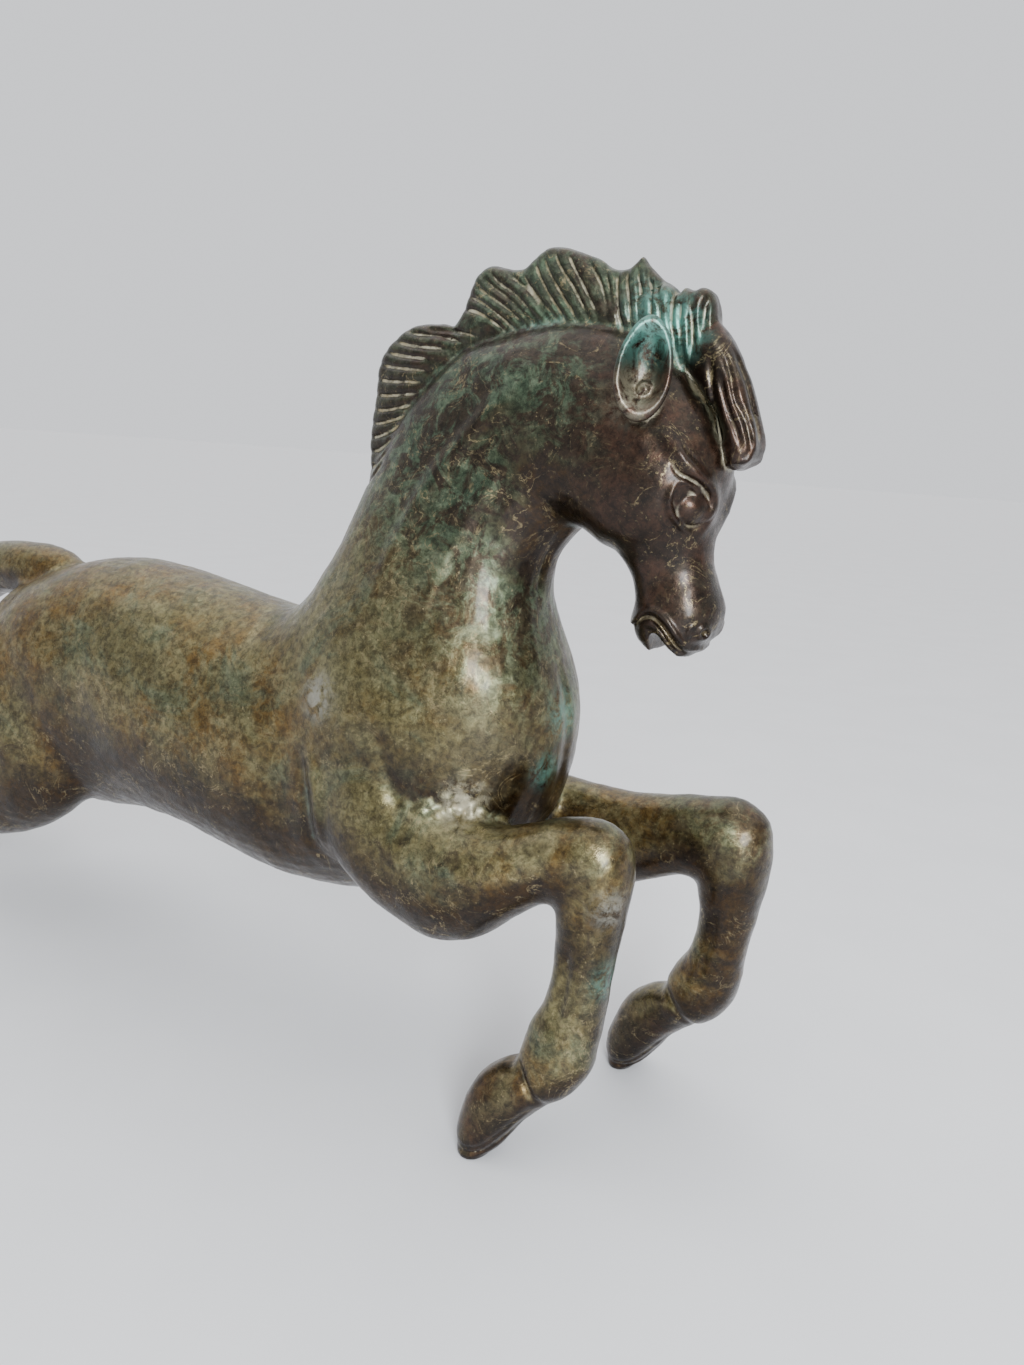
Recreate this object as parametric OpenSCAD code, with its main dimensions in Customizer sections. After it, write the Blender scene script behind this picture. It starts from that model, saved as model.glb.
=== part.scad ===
// Leaping horse, lost-wax bronze, cast in sections and joined on inner sleeves.
// +X is forward, +Z is up, the horse's right side faces -Y.
// The origin is on the table, under the middle of the whole figure.

/* [Overall] */
// Length from the hind toes to the leading knee
statue_length = 426; // [340:1:520]
// Height from the table to the top of the mane
statue_height = 258; // [205:1:310]
// Width of the barrel behind the shoulders
barrel_width = 71; // [58:1:86]
// Width of the chest, inside the arms
chest_width = 70; // [58:1:84]
// Width over the two arms
shoulder_width = 81; // [70:1:96]
// Width of the hips, inside the thighs
hip_width = 71; // [59:1:85]
// Width over the two thighs
haunch_width = 81; // [70:1:96]
// Width of the neck where it leaves the chest
neck_width = 56; // [45:1:67]
// Width of the neck at the throat
throat_width = 33; // [27:1:40]
// Width of the head at the cheeks
head_width = 38; // [32:1:46]
// Width of the muzzle
muzzle_width = 25; // [21:1:30]

/* [Legs] */
// Distance between the two fore toes
fore_track = 66; // [55:1:76]
// Distance between the two hind toes
hind_track = 62; // [52:1:72]
// How far the left foreleg reaches past the right one
fore_reach = 27; // [20:1:33]
// Width of a forearm below the elbow
forearm_width = 26; // [22:1:30]
// Width of a knee
knee_width = 22; // [18:1:26]
// Width of a cannon, the shin of a leg
cannon_width = 17; // [14:1:20]
// Width of a fetlock
fetlock_width = 20; // [16:1:24]
// Width of a hoof
hoof_width = 19; // [16:1:22]
// Width of a hind thigh
thigh_width = 34; // [28:1:40]
// Thickness of the plate that closes a hoof
sole_t = 1.5; // [1.2:0.1:2.5]

/* [Castings] */
// Wall of the hollow castings
wall = 4; // [3:0.5:5]
// Wall of a joint sleeve
sleeve_t = 2.5; // [2:0.5:3.5]
// Length of a joint sleeve
sleeve_length = 18; // [14:1:22]
// Solder gap around a joint sleeve
sleeve_gap = 0.25; // [0.15:0.05:0.4]

/* [Fasteners] */
// Diameter of a pin through a casting and its sleeve
pin_d = 3; // [2:0.5:4]
// Diameter of the round tenon on a leg
tenon_d = 14; // [11:0.5:17]
// Length of a tenon inside the casting
tenon_length = 9; // [8:0.5:12]
// Gap around a tenon, a pin or a dowel
fit_gap = 0.1; // [0.05:0.05:0.2]
// Diameter of the key through a tenon
key_d = 3; // [2:0.5:4]
// Diameter of a dowel under the mane
dowel_d = 3; // [2:0.5:4]
// Length of a dowel above the neck
dowel_length = 5; // [4:0.5:6]
// Diameter of a core pin left in a casting
core_pin_d = 3.5; // [2.5:0.5:5]

/* [Mane, ears and tail] */
// Thickness of the mane
mane_t = 10; // [8:0.5:12]
// Width of the topknot between the ears
topknot_width = 15; // [12:0.5:18]
// Width of the forelock
forelock_width = 14; // [11:0.5:17]
// Width of the tail
tail_width = 21; // [17:0.5:25]
// Length of an ear
ear_length = 27; // [23:0.5:31]
// Width of an ear
ear_width = 16.5; // [14:0.5:19]
// Depth of the bowl of an ear
ear_depth = 6.5; // [5.5:0.5:7.5]
// How far the rim of an ear stands off the head at its foot
ear_stand = 4.7; // [4:0.1:5.2]
// Wall of an ear
ear_wall = 2; // [1.6:0.1:2.4]
// Diameter of the rivet head in an ear
rivet_d = 4.5; // [3.5:0.5:5.5]

/* [Hidden] */

RIGHT = -1;
LEFT = 1;
BRONZE = [0.33, 0.34, 0.24];
DARK = [0.26, 0.19, 0.14];
VERDIGRIS = [0.30, 0.45, 0.38];
BRASS = [0.62, 0.50, 0.28];

// The outlines below are drawn for a figure of this length and height.
drawn_length = 426;
drawn_height = 258;
kx = statue_length / drawn_length;
kz = statue_height / drawn_height;

ring_sides = 24;
leg_sides = 18;
fullness = 2.25;

// A station is one cross-section, in a plane that stands across the middle of the figure:
// [x and z of its upper end, x and z of its lower end, half width, y of its centre, egg shape].
// Upper means the side of the back, the crest, the brow and the front of a leg.
ch = chest_width / 2;
hi = hip_width / 2;
ba = barrel_width / 2;
ne = neck_width / 2;
th = throat_width / 2;
he = head_width / 2;
mu = muzzle_width / 2;

spine_drawn = [
  [-93, 121, -97, 97, hi * 0.3, 0, 0],
  [-89, 134, -93, 80, hi * 0.66, 0, 0],
  [-76, 143, -80, 67, hi * 0.9, 0, 0],
  [-56, 150, -58, 59, hi, 0, 0],
  [-34, 154, -32, 58, hi, 0, 0.05],
  [-12, 153.5, -8, 61, (hi + ba) / 2, 0, 0.1],
  [12, 150.5, 14, 60, ba, 0, 0.12],
  [32, 147.5, 36, 56.5, ba, 0, 0.12],
  [45, 146.5, 60, 54, (ba + ch) / 2, 0, 0.12],
  [53, 149, 84, 55.5, ch, 0, 0.1],
  [58, 153.5, 106, 61.5, ch, 0, 0.1],
  [62.5, 159, 126, 71.5, ch * 1.02, 0, 0.1],
  [66, 164.5, 143, 88, ch, 0, 0.1],
  [69.5, 171, 151, 108, (ch + ne) / 2, 0, 0.1],
  [73.5, 180, 151, 128, ne, 0, 0.14],
  [78, 192.5, 145.5, 145, (ne + th) * 0.52, 0, 0.18],
  [85.5, 207, 141.5, 160, th * 1.22, 0, 0.2],
  [96.5, 220.5, 143.5, 173, th * 1.08, 0, 0.2],
  [111, 231, 149, 181, th, 0, 0.16],
  [129, 236.5, 151, 182.5, (th + he) / 2, 0, 0.12],
  [146, 238.5, 153, 182, he * 0.96, 0, 0.1],
  [162, 236, 155, 181, he, 0, 0.1],
  [176, 228, 157, 180, he, 0, 0.1],
  [187, 216, 159.5, 178.5, he, 0, 0.05],
  [192, 202, 162.5, 176.5, he * 0.93, 0, 0],
  [192.5, 189.5, 166.5, 172, he * 0.72, 0, 0],
  [190.5, 178.5, 168, 165.5, mu * 0.94, 0, 0],
  [191.5, 170, 168.5, 160, mu * 0.96, 0, 0],
  [192.5, 161, 168.5, 155.5, mu, 0, 0],
  [189, 154.5, 169, 152, mu * 0.94, 0, 0],
  [184, 150, 172, 149.5, mu * 0.6, 0, 0],
];
// Stations at which the hollow castings meet
loin_seam = 4;
shoulder_seam = 8;
neck_seam = 14;
head_seam = 19;
muzzle_end = 30;

// Centre of a leg's station: a share of the track, or tucked in under the full width
function from_track(track, share) = track / 2 * share;
function under(width, half) = width / 2 - half;

arm = forearm_width / 2;
kn = knee_width / 2;
ca = cannon_width / 2;
fe = fetlock_width / 2;
hf = hoof_width / 2;
foreleg_drawn = [
  [96, 116, 80, 92, arm * 0.7, under(chest_width, arm * 0.7) - 3, 0],
  [106, 110, 88, 80, arm * 0.95, under(shoulder_width, arm * 0.95) - 2, 0],
  [116, 104, 100, 69, arm * 1.08, under(shoulder_width, arm * 1.08), 0],
  [126, 100, 114, 62.5, arm * 1.1, under(shoulder_width, arm * 1.1), 0],
  [136, 98, 128, 60, arm * 1.04, under(shoulder_width, arm * 1.04), 0],
  [145, 98, 141, 63.5, arm * 0.97, from_track(fore_track, 0.8), 0],
  [154, 100.5, 152, 72, (arm + kn) / 2, from_track(fore_track, 0.74), 0],
  [164, 104, 160.5, 78, kn, from_track(fore_track, 0.68), 0],
  [175, 105, 163.5, 77, kn, from_track(fore_track, 0.66), 0],
  [182, 100.5, 164, 75, kn, from_track(fore_track, 0.66), 0],
  [184.5, 92, 164.5, 72.5, kn, from_track(fore_track, 0.67), 0],
  [184, 80, 165, 68.5, (kn + ca) / 2, from_track(fore_track, 0.69), 0],
  [182.5, 66, 165, 60.5, ca, from_track(fore_track, 0.71), 0],
  [181.5, 53, 163.5, 51, ca, from_track(fore_track, 0.74), 0],
  [181, 42, 160, 42.5, (ca + fe) / 2, from_track(fore_track, 0.78), 0],
  [180, 33, 158.5, 35.5, fe, from_track(fore_track, 0.81), 0],
  [176, 26, 157.5, 30.5, fe * 0.94, from_track(fore_track, 0.84), 0],
  [170, 21, 153, 28.5, hf * 0.92, from_track(fore_track, 0.88), 0],
  [164.5, 15, 147, 23, hf, from_track(fore_track, 0.92), 0],
  [160, 8.5, 143.5, 14, hf, from_track(fore_track, 0.96), 0],
  [157, 4, 142.5, 6.5, hf * 0.94, from_track(fore_track, 0.98), 0],
  [153.5, 0, 144, 0, hf * 0.8, from_track(fore_track, 1), 0],
];
// Share of the extra reach, and of fetlock_lift, that each foreleg station takes
reach_share = [
  0, 0, 0, 0.2, 0.42, 0.6, 0.78, 0.93, 1, 1, 1, 1,
  0.98, 0.96, 0.95, 0.92, 0.9, 0.86, 0.82, 0.78, 0.74, 0.72,
];
lift_share = [
  0, 0, 0, 0, 0, 0, 0, 0, 0, 0, 0, 0, 0, 0.3, 0.7, 1, 1, 1, 0.8, 0.4, 0.1, 0,
];
fetlock_lift = 5;

thigh = thigh_width / 2;
hindleg_drawn = [
  [-78, 128, -36, 86, thigh * 0.55, under(hip_width, thigh * 0.55) - 3, 0],
  [-87, 116, -34, 70, thigh * 0.85, under(haunch_width, thigh * 0.85) - 2, 0],
  [-95, 102, -45, 56, thigh, under(haunch_width, thigh), 0],
  [-101, 89, -61, 46, thigh, under(haunch_width, thigh), 0],
  [-109, 79, -77, 40.5, thigh * 0.94, under(haunch_width, thigh * 0.94), 0],
  [-120, 73, -95, 40, thigh * 0.8, from_track(hind_track, 0.9), 0],
  [-133, 70, -112, 43, thigh * 0.66, from_track(hind_track, 0.97), 0],
  [-146, 69.5, -128, 45.5, kn * 0.96, from_track(hind_track, 1), 0],
  [-155, 64, -139, 43.5, kn * 0.96, from_track(hind_track, 0.98), 0],
  [-162, 55, -149, 38.5, ca * 1.08, from_track(hind_track, 0.97), 0],
  [-170, 46, -159, 31.5, ca, from_track(hind_track, 0.96), 0],
  [-179, 38.5, -168, 23.5, ca, from_track(hind_track, 0.96), 0],
  [-189, 32, -175, 16.5, fe, from_track(hind_track, 0.97), 0],
  [-196.5, 26.5, -182, 12, fe * 0.92, from_track(hind_track, 0.98), 0],
  [-203.5, 22, -188, 8, hf * 0.96, from_track(hind_track, 0.99), 0],
  [-210, 14, -193, 4.5, hf, from_track(hind_track, 1), 0],
  [-212, 6, -197, 1.5, hf * 0.96, from_track(hind_track, 1), 0],
  [-211, 0, -200, 0, hf * 0.84, from_track(hind_track, 1), 0],
];

ta = tail_width / 2;
tail_drawn = [
  [-66, 151, -80, 132, ta * 0.75, 0, 0],
  [-80, 153, -90, 132, ta * 0.9, 0, 0],
  [-97, 154, -100, 132, ta, 0, 0],
  [-115, 152, -112, 130.5, ta, 0, 0],
  [-132, 145.5, -123, 126, ta, 0, 0],
  [-147, 134, -134, 118, ta * 0.96, 0, 0],
  [-158, 119.5, -144, 107.5, ta * 0.88, 0, 0],
  [-167, 103.5, -153.5, 95, ta * 0.76, 0, 0],
  [-175, 89, -164, 83.5, ta * 0.55, 0, 0],
  [-183, 76, -177, 73.5, ta * 0.25, 0, 0],
];

fo = forelock_width / 2;
forelock_drawn = [
  [185.5, 241.5, 178, 233, fo * 0.75, 0, 0],
  [190.5, 233.5, 182.5, 227.5, fo * 0.95, 0, 0],
  [195, 223, 187, 219, fo, 0, 0],
  [198, 213, 190, 211, fo, 0, 0],
  [199, 206.5, 191.5, 206, fo * 0.9, 0, 0],
  [197, 202, 193.5, 202, fo * 0.6, 0, 0],
];

// Outlines in the middle plane of the figure, as x and z
mane_back_drawn = [
  [84, 182], [80.5, 189], [79.5, 202], [81, 215], [83.5, 227], [88.5, 234], [94, 237], [105, 236.5],
  [109, 226], [100, 213], [90, 198],
];
mane_front_drawn = [
  [105, 236.5], [110.5, 247], [115, 253], [125.5, 251.5], [131, 256], [138, 258], [146, 256.5],
  [153.5, 251.5], [158, 240], [157, 230], [131, 229], [109, 226],
];
topknot_drawn = [
  [158, 240], [159.5, 249], [164.5, 253], [169.5, 248], [176.5, 246.5], [181.5, 243.5], [183, 237],
  [181.5, 229], [174, 223], [157, 230],
];

// Middle of the figure, from the two ends of its outline
all_stations = concat(spine_drawn, hindleg_drawn, foreleg(LEFT));
all_x = [for (s = all_stations) each [s[0], s[2]]];
middle_x = (max(all_x) + min(all_x)) / 2;

function placed_x(x) = (x - middle_x) * kx;
function placed_z(z) = z * kz;
function placed(s) =
  [placed_x(s[0]), placed_z(s[1]), placed_x(s[2]), placed_z(s[3]), s[4], s[5], s[6]];
function placed_list(list) = [for (s = list) placed(s)];

// A foreleg's stations; the left one reaches further forward
function foreleg(side) = [
  for (i = [0 : len(foreleg_drawn) - 1])
    let (s = foreleg_drawn[i], left = side == LEFT ? 1 : 0)
    let (dx = left * fore_reach * reach_share[i], dz = left * fetlock_lift * lift_share[i])
    [s[0] + dx, s[1] + dz, s[2] + dx, s[3] + dz, s[4], s[5], s[6]]
];

spine = placed_list(spine_drawn);

// A leg ends on the upper face of its sole plate
function leg_stations(list, side) = [
  for (i = [0 : len(list) - 1])
    let (s = placed(list[i]), last = i == len(list) - 1)
    let (low = last ? sole_t : max(s[3], sole_t + 0.4), high = last ? sole_t : max(s[1], sole_t + 0.8))
    [s[0], high, s[2], low, s[4], side * s[5], s[6]]
];

function ends(s) = [[s[0], s[1]], [s[2], s[3]]];
function middle(s) = [(s[0] + s[2]) / 2, (s[1] + s[3]) / 2];
function between(a, b, share) = [for (i = [0 : len(a) - 1]) a[i] + (b[i] - a[i]) * share];
function station_at(list, u) =
  let (i = min(floor(u), len(list) - 2)) between(list[i], list[i + 1], u - i);
function soft(v) = sign(v) * pow(abs(v), 2 / fullness);

// The points of one cross-section, drawn in by inset
function ring(s, inset = 0, sides = ring_sides) =
  let (e = ends(s), c = middle(s), tall = norm(e[0] - e[1]))
  let (up = (e[0] - e[1]) / tall, h = tall / 2 - inset, w = s[4] - inset)
  [
    for (i = [0 : sides - 1])
      let (a = 360 * i / sides, v = h * soft(cos(a)), y = w * soft(sin(a)) * (1 - s[6] * cos(a)))
      [c.x + up.x * v, s[5] + y, c.y + up.y * v]
  ];

function backwards(list) = [for (i = [len(list) - 1 : -1 : 0]) list[i]];

// Faces that close a ring; a folded ring, out along one arc and back along another, needs strips
function cap(n, base, folded) = folded
  ? [for (k = [0 : n / 2 - 2]) each [[k, k + 1, n - 2 - k] + base * [1, 1, 1],
                                     [k, n - 2 - k, n - 1 - k] + base * [1, 1, 1]]]
  : [[for (k = [0 : n - 1]) base + k]];

// A skin over rings of equal size, closed at both ends or, with loop, joined last to first
module skin(rings, loop = false, folded = false) {
  n = len(rings[0]);
  m = len(rings);
  bands = loop ? m : m - 1;
  sides = [
    for (i = [0 : bands - 1], k = [0 : n - 1])
      let (a = i * n + k, b = i * n + (k + 1) % n)
      let (c = ((i + 1) % m) * n + (k + 1) % n, d = ((i + 1) % m) * n + k)
      each [[a, b, c], [a, c, d]]
  ];
  first = [for (f = cap(n, 0, folded)) backwards(f)];
  last = cap(n, (m - 1) * n, folded);
  points = [for (r = rings) each r];
  polyhedron(points, loop ? sides : concat(sides, first, last));
}

// Stations in the order that turns the skin's faces outward
function outward(list) =
  let (k = floor(len(list) / 2), e = ends(list[k]), up = e[0] - e[1])
  let (run = middle(list[k + 1]) - middle(list[k]))
  up.x * run.y - up.y * run.x > 0 ? backwards(list) : list;

module solid_loft(list, sides = ring_sides) {
  skin([for (s = outward(list)) ring(s, 0, sides)]);
}

// A hollow casting over stations from to to; blind ends keep a solid wall
module hollow(from, to, blind_start = false, blind_end = false) {
  outer = [for (i = [from : to]) ring(spine[i])];
  first_in = blind_start ? from + 1 : from;
  last_in = blind_end ? to - 1 : to;
  inner = [for (i = [first_in : last_in]) ring(spine[i], wall)];
  if (blind_start)
    skin(concat(outer, backwards(inner)));
  else if (blind_end)
    skin(concat(backwards(outer), inner));
  else
    skin(concat(outer, backwards(inner)), loop = true);
}

// How far a sleeve reaches each side of a seam, in stations
function reach(seam, way) =
  min(sleeve_length / 2 / norm(middle(spine[seam + way]) - middle(spine[seam])), 0.9);
function sleeve_ends(seam) = [seam - reach(seam, -1), seam, seam + reach(seam, 1)];

module sleeve(seam) {
  stations = [for (u = sleeve_ends(seam)) station_at(spine, u)];
  outer = [for (s = stations) ring(s, wall + sleeve_gap)];
  inner = [for (s = stations) ring(s, wall + sleeve_gap + sleeve_t)];
  skin(concat(outer, backwards(inner)), loop = true);
}

// A round bar along Y on both sides of the spine, ending at half width out
module side_bars(u, d, out_by, depth) {
  s = station_at(spine, u);
  c = middle(s);
  for (side = [RIGHT, LEFT])
    translate([c.x, side * (s[4] + out_by), c.y])
      rotate([side * 90, 0, 0])
        cylinder(h = depth, d = d, $fn = 32);
}

seams = [loin_seam, shoulder_seam, neck_seam, head_seam];
function pin_stations(seam) =
  [(sleeve_ends(seam)[0] + seam) / 2, (sleeve_ends(seam)[2] + seam) / 2];
pin_depth = wall + sleeve_gap + sleeve_t;
cut_out = 3;

module seam_pins(seam) {
  for (u = pin_stations(seam))
    side_bars(u, pin_d, 0, pin_depth);
}
module seam_pin_holes(seam) {
  for (u = pin_stations(seam))
    side_bars(u, pin_d + 2 * fit_gap, cut_out, pin_depth + 2 * cut_out);
}

core_pin_stations = [5, 6.5, 11, 16];
module core_pin_holes() {
  for (u = core_pin_stations)
    side_bars(u, core_pin_d, cut_out, wall + 2 * cut_out);
}

// Tenons stand on the body's surface: [station, angle from the upper end of the section]
fore_tenon = [10.6, 122];
hind_tenon = [2.7, 106];
function seat(tenon) =
  let (s = station_at(spine, tenon[0]), e = ends(s), a = tenon[1])
  middle(s) + (e[0] - e[1]) / 2 * soft(cos(a));
function seat_y(tenon) =
  let (s = station_at(spine, tenon[0]), a = tenon[1])
  s[4] * soft(sin(a)) * (1 - s[6] * cos(a));
function tip_y(tenon) = seat_y(tenon) - wall - tenon_length;
tenon_root = 3;

module along_y(tenon, y0, y1, d, side) {
  at = seat(tenon);
  translate([at.x, side * y0, at.y])
    rotate([-side * 90, 0, 0])
      cylinder(h = y1 - y0, d = d, $fn = 48);
}
module tenon_holes(tenon) {
  for (side = [RIGHT, LEFT])
    along_y(tenon, tip_y(tenon) - 1, seat_y(tenon) + 12, tenon_d + 2 * fit_gap, side);
}
key_overhang = 2.5;
module key(tenon, side, d) {
  at = seat(tenon);
  y = tip_y(tenon) + 1.3 * key_d;
  translate([at.x - tenon_d / 2 - key_overhang, side * y, at.y])
    rotate([0, 90, 0])
      cylinder(h = tenon_d + 2 * key_overhang, d = d, $fn = 32);
}

module leg(list, side, tenon, from, to) {
  difference() {
    union() {
      difference() {
        solid_loft(leg_stations(list, side), leg_sides);
        solid_loft([for (i = [from : to]) spine[i]]);
      }
      along_y(tenon, tip_y(tenon), seat_y(tenon) + tenon_root, tenon_d, side);
    }
    key(tenon, side, key_d + 2 * fit_gap);
  }
}

module sole(list, side) {
  stations = leg_stations(list, side);
  linear_extrude(sole_t)
    polygon([for (p = ring(stations[len(stations) - 1], 0, leg_sides)) [p.x, p.y]]);
}

// Dowels stand square to the crest at these stations
back_dowels = [16, 17];
front_dowels = [18, 20];
topknot_dowels = [21, 22];
module crest_bar(i, d, below, above) {
  e = ends(spine[i]);
  up = (e[0] - e[1]) / norm(e[0] - e[1]);
  translate([e[0].x, 0, e[0].y])
    rotate([0, atan2(up.x, up.y), 0])
      translate([0, 0, -below])
        cylinder(h = below + above, d = d, $fn = 32);
}
module dowel_holes(list) {
  for (i = list)
    crest_bar(i, dowel_d + 2 * fit_gap, wall + 2, dowel_length);
}

module crest_plate(outline, thickness, from, to, dowels) {
  difference() {
    rotate([90, 0, 0])
      linear_extrude(thickness, center = true)
        polygon([for (p = outline) [placed_x(p.x), placed_z(p.y)]]);
    solid_loft([for (i = [from : to]) spine[i]]);
    dowel_holes(dowels);
  }
}

// An ear is a leaf-shaped bowl: rows of [share of length, share of width, share of depth]
ear_rows = [
  [0, 0.45, 0.5], [0.1, 0.72, 0.8], [0.28, 0.96, 1], [0.5, 1, 1], [0.7, 0.9, 0.85],
  [0.86, 0.66, 0.6], [0.96, 0.38, 0.36], [1, 0.18, 0.2],
];
ear_steps = 8;
function arc_row(w, d, z) =
  [for (k = [0 : ear_steps]) [w * cos(180 * k / ear_steps), d * sin(180 * k / ear_steps), z]];
function ear_ring(r) =
  let (w = ear_width / 2 * r[1], d = ear_depth * r[2], z = ear_length * r[0])
  let (t = min(ear_wall, w * 0.6, d * 0.6))
  concat(arc_row(w, d, z), backwards(arc_row(w - t, d - t, z)));

// Foot of an ear on the head: [station, angle from the crest]; its rim stands off the surface
ear_foot = [22.34, 66];
ear_turn = 24;
ear_lean = 2;
module at_ear() {
  at = seat(ear_foot);
  translate([at.x, -seat_y(ear_foot) - ear_stand, at.y])
    rotate([ear_lean, 0, ear_turn])
      children();
}
module both_sides() {
  for (side = [RIGHT, LEFT])
    mirror([0, side == LEFT ? 1 : 0, 0])
      children();
}
rivet_share = 0.24;
rivet_head_t = 1.2;
rivet_shank = 8;
module ear_rivet(gap = 0) {
  translate([0, ear_depth - ear_wall, ear_length * rivet_share])
    rotate([90, 0, 0])
      cylinder(h = rivet_head_t, d = rivet_d, $fn = 32);
  translate([0, ear_depth - ear_wall + rivet_shank, ear_length * rivet_share])
    rotate([90, 0, 0])
      cylinder(h = rivet_shank, d = rivet_d / 2 + 2 * gap, $fn = 32);
}
module ear() {
  difference() {
    at_ear()
      skin([for (r = ear_rows) ear_ring(r)], folded = true);
    solid_loft([for (i = [head_seam : head_seam + 6]) spine[i]]);
    at_ear()
      ear_rivet(fit_gap);
  }
}
module ear_holes() {
  both_sides()
    at_ear()
      ear_rivet(fit_gap);
}

module head_casting() {
  color(DARK)
    difference() {
      hollow(head_seam, muzzle_end, blind_end = true);
      seam_pin_holes(head_seam);
      dowel_holes(concat([front_dowels[1]], topknot_dowels));
      ear_holes();
    }
}
module neck_casting() {
  color(VERDIGRIS)
    difference() {
      hollow(neck_seam, head_seam);
      seam_pin_holes(neck_seam);
      seam_pin_holes(head_seam);
      dowel_holes(concat(back_dowels, [front_dowels[0]]));
      core_pin_holes();
    }
}
module forequarter_casting() {
  color(BRONZE)
    difference() {
      hollow(shoulder_seam, neck_seam);
      seam_pin_holes(shoulder_seam);
      seam_pin_holes(neck_seam);
      tenon_holes(fore_tenon);
      core_pin_holes();
    }
}
module barrel_casting() {
  color(BRONZE)
    difference() {
      hollow(loin_seam, shoulder_seam);
      seam_pin_holes(loin_seam);
      seam_pin_holes(shoulder_seam);
      core_pin_holes();
    }
}
module hindquarter_casting() {
  color(BRONZE)
    difference() {
      hollow(0, loin_seam, blind_start = true);
      seam_pin_holes(loin_seam);
      tenon_holes(hind_tenon);
    }
}
module right_foreleg() {
  color(BRONZE) leg(foreleg(RIGHT), RIGHT, fore_tenon, shoulder_seam - 1, neck_seam);
}
module left_foreleg() {
  color(BRONZE) leg(foreleg(LEFT), LEFT, fore_tenon, shoulder_seam - 1, neck_seam);
}
module right_hindleg() {
  color(BRONZE) leg(hindleg_drawn, RIGHT, hind_tenon, 0, loin_seam + 1);
}
module left_hindleg() {
  color(BRONZE) leg(hindleg_drawn, LEFT, hind_tenon, 0, loin_seam + 1);
}
module right_fore_sole() {
  color(DARK) sole(foreleg(RIGHT), RIGHT);
}
module left_fore_sole() {
  color(DARK) sole(foreleg(LEFT), LEFT);
}
module right_hind_sole() {
  color(DARK) sole(hindleg_drawn, RIGHT);
}
module left_hind_sole() {
  color(DARK) sole(hindleg_drawn, LEFT);
}
module tail() {
  color(BRONZE)
    difference() {
      solid_loft(placed_list(tail_drawn), leg_sides);
      solid_loft([for (i = [0 : loin_seam]) spine[i]]);
    }
}
module right_ear() {
  color(DARK) ear();
}
module left_ear() {
  color(DARK)
    mirror([0, 1, 0])
      ear();
}
module ear_rivets() {
  color(BRASS)
    both_sides()
      at_ear()
        ear_rivet();
}
module mane_back() {
  color(VERDIGRIS) crest_plate(mane_back_drawn, mane_t, neck_seam, head_seam, back_dowels);
}
module mane_front() {
  color(VERDIGRIS) crest_plate(mane_front_drawn, mane_t, neck_seam + 2, head_seam + 4, front_dowels);
}
module topknot() {
  color(VERDIGRIS)
    crest_plate(topknot_drawn, topknot_width, head_seam, head_seam + 6, topknot_dowels);
}
module forelock() {
  color(DARK)
    difference() {
      solid_loft(placed_list(forelock_drawn), leg_sides);
      rotate([90, 0, 0])
        linear_extrude(topknot_width, center = true)
          polygon([for (p = topknot_drawn) [placed_x(p.x), placed_z(p.y)]]);
    }
}
module head_sleeve() {
  color(BRASS)
    difference() {
      sleeve(head_seam);
      seam_pin_holes(head_seam);
    }
}
module neck_sleeve() {
  color(BRASS)
    difference() {
      sleeve(neck_seam);
      seam_pin_holes(neck_seam);
    }
}
module shoulder_sleeve() {
  color(BRASS)
    difference() {
      sleeve(shoulder_seam);
      seam_pin_holes(shoulder_seam);
    }
}
module loin_sleeve() {
  color(BRASS)
    difference() {
      sleeve(loin_seam);
      seam_pin_holes(loin_seam);
    }
}
module sleeve_pins() {
  color(BRASS)
    for (seam = seams)
      seam_pins(seam);
}
module leg_keys() {
  color(BRASS)
    for (side = [RIGHT, LEFT]) {
      key(fore_tenon, side, key_d);
      key(hind_tenon, side, key_d);
    }
}
module mane_dowels() {
  color(BRASS)
    for (i = concat(back_dowels, front_dowels, topknot_dowels))
      crest_bar(i, dowel_d, wall, dowel_length - 0.5);
}
module core_pins() {
  color(BRASS)
    for (u = core_pin_stations)
      side_bars(u, core_pin_d, 0, wall);
}

head_casting();
neck_casting();
forequarter_casting();
barrel_casting();
hindquarter_casting();
right_foreleg();
left_foreleg();
right_hindleg();
left_hindleg();
right_fore_sole();
left_fore_sole();
right_hind_sole();
left_hind_sole();
tail();
right_ear();
left_ear();
ear_rivets();
mane_back();
mane_front();
topknot();
forelock();
head_sleeve();
neck_sleeve();
shoulder_sleeve();
loin_sleeve();
sleeve_pins();
leg_keys();
mane_dowels();
core_pins();
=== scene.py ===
"""A leaping horse in patinated cast bronze, modelled as one body of clay in signed distances
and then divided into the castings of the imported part. Shapes are in millimetres."""

import math

import bmesh
import bpy
import numpy as np
import openvdb
from mathutils import Matrix, Vector


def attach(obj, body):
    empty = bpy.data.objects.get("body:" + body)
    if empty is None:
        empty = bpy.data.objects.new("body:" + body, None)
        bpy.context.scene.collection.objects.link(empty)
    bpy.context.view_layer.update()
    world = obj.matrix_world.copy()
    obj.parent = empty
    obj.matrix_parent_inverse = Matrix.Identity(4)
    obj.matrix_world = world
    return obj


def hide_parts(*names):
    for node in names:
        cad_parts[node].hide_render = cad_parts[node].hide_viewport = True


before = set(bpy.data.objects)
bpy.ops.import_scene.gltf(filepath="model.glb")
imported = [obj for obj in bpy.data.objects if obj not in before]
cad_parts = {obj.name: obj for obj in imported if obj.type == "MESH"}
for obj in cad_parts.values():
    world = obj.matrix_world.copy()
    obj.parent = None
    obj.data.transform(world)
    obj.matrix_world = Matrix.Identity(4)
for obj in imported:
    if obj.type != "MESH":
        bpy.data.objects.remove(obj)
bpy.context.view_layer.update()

MM = 0.001
BAND = 7.0  # distances further than this from a surface aren't kept
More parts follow.
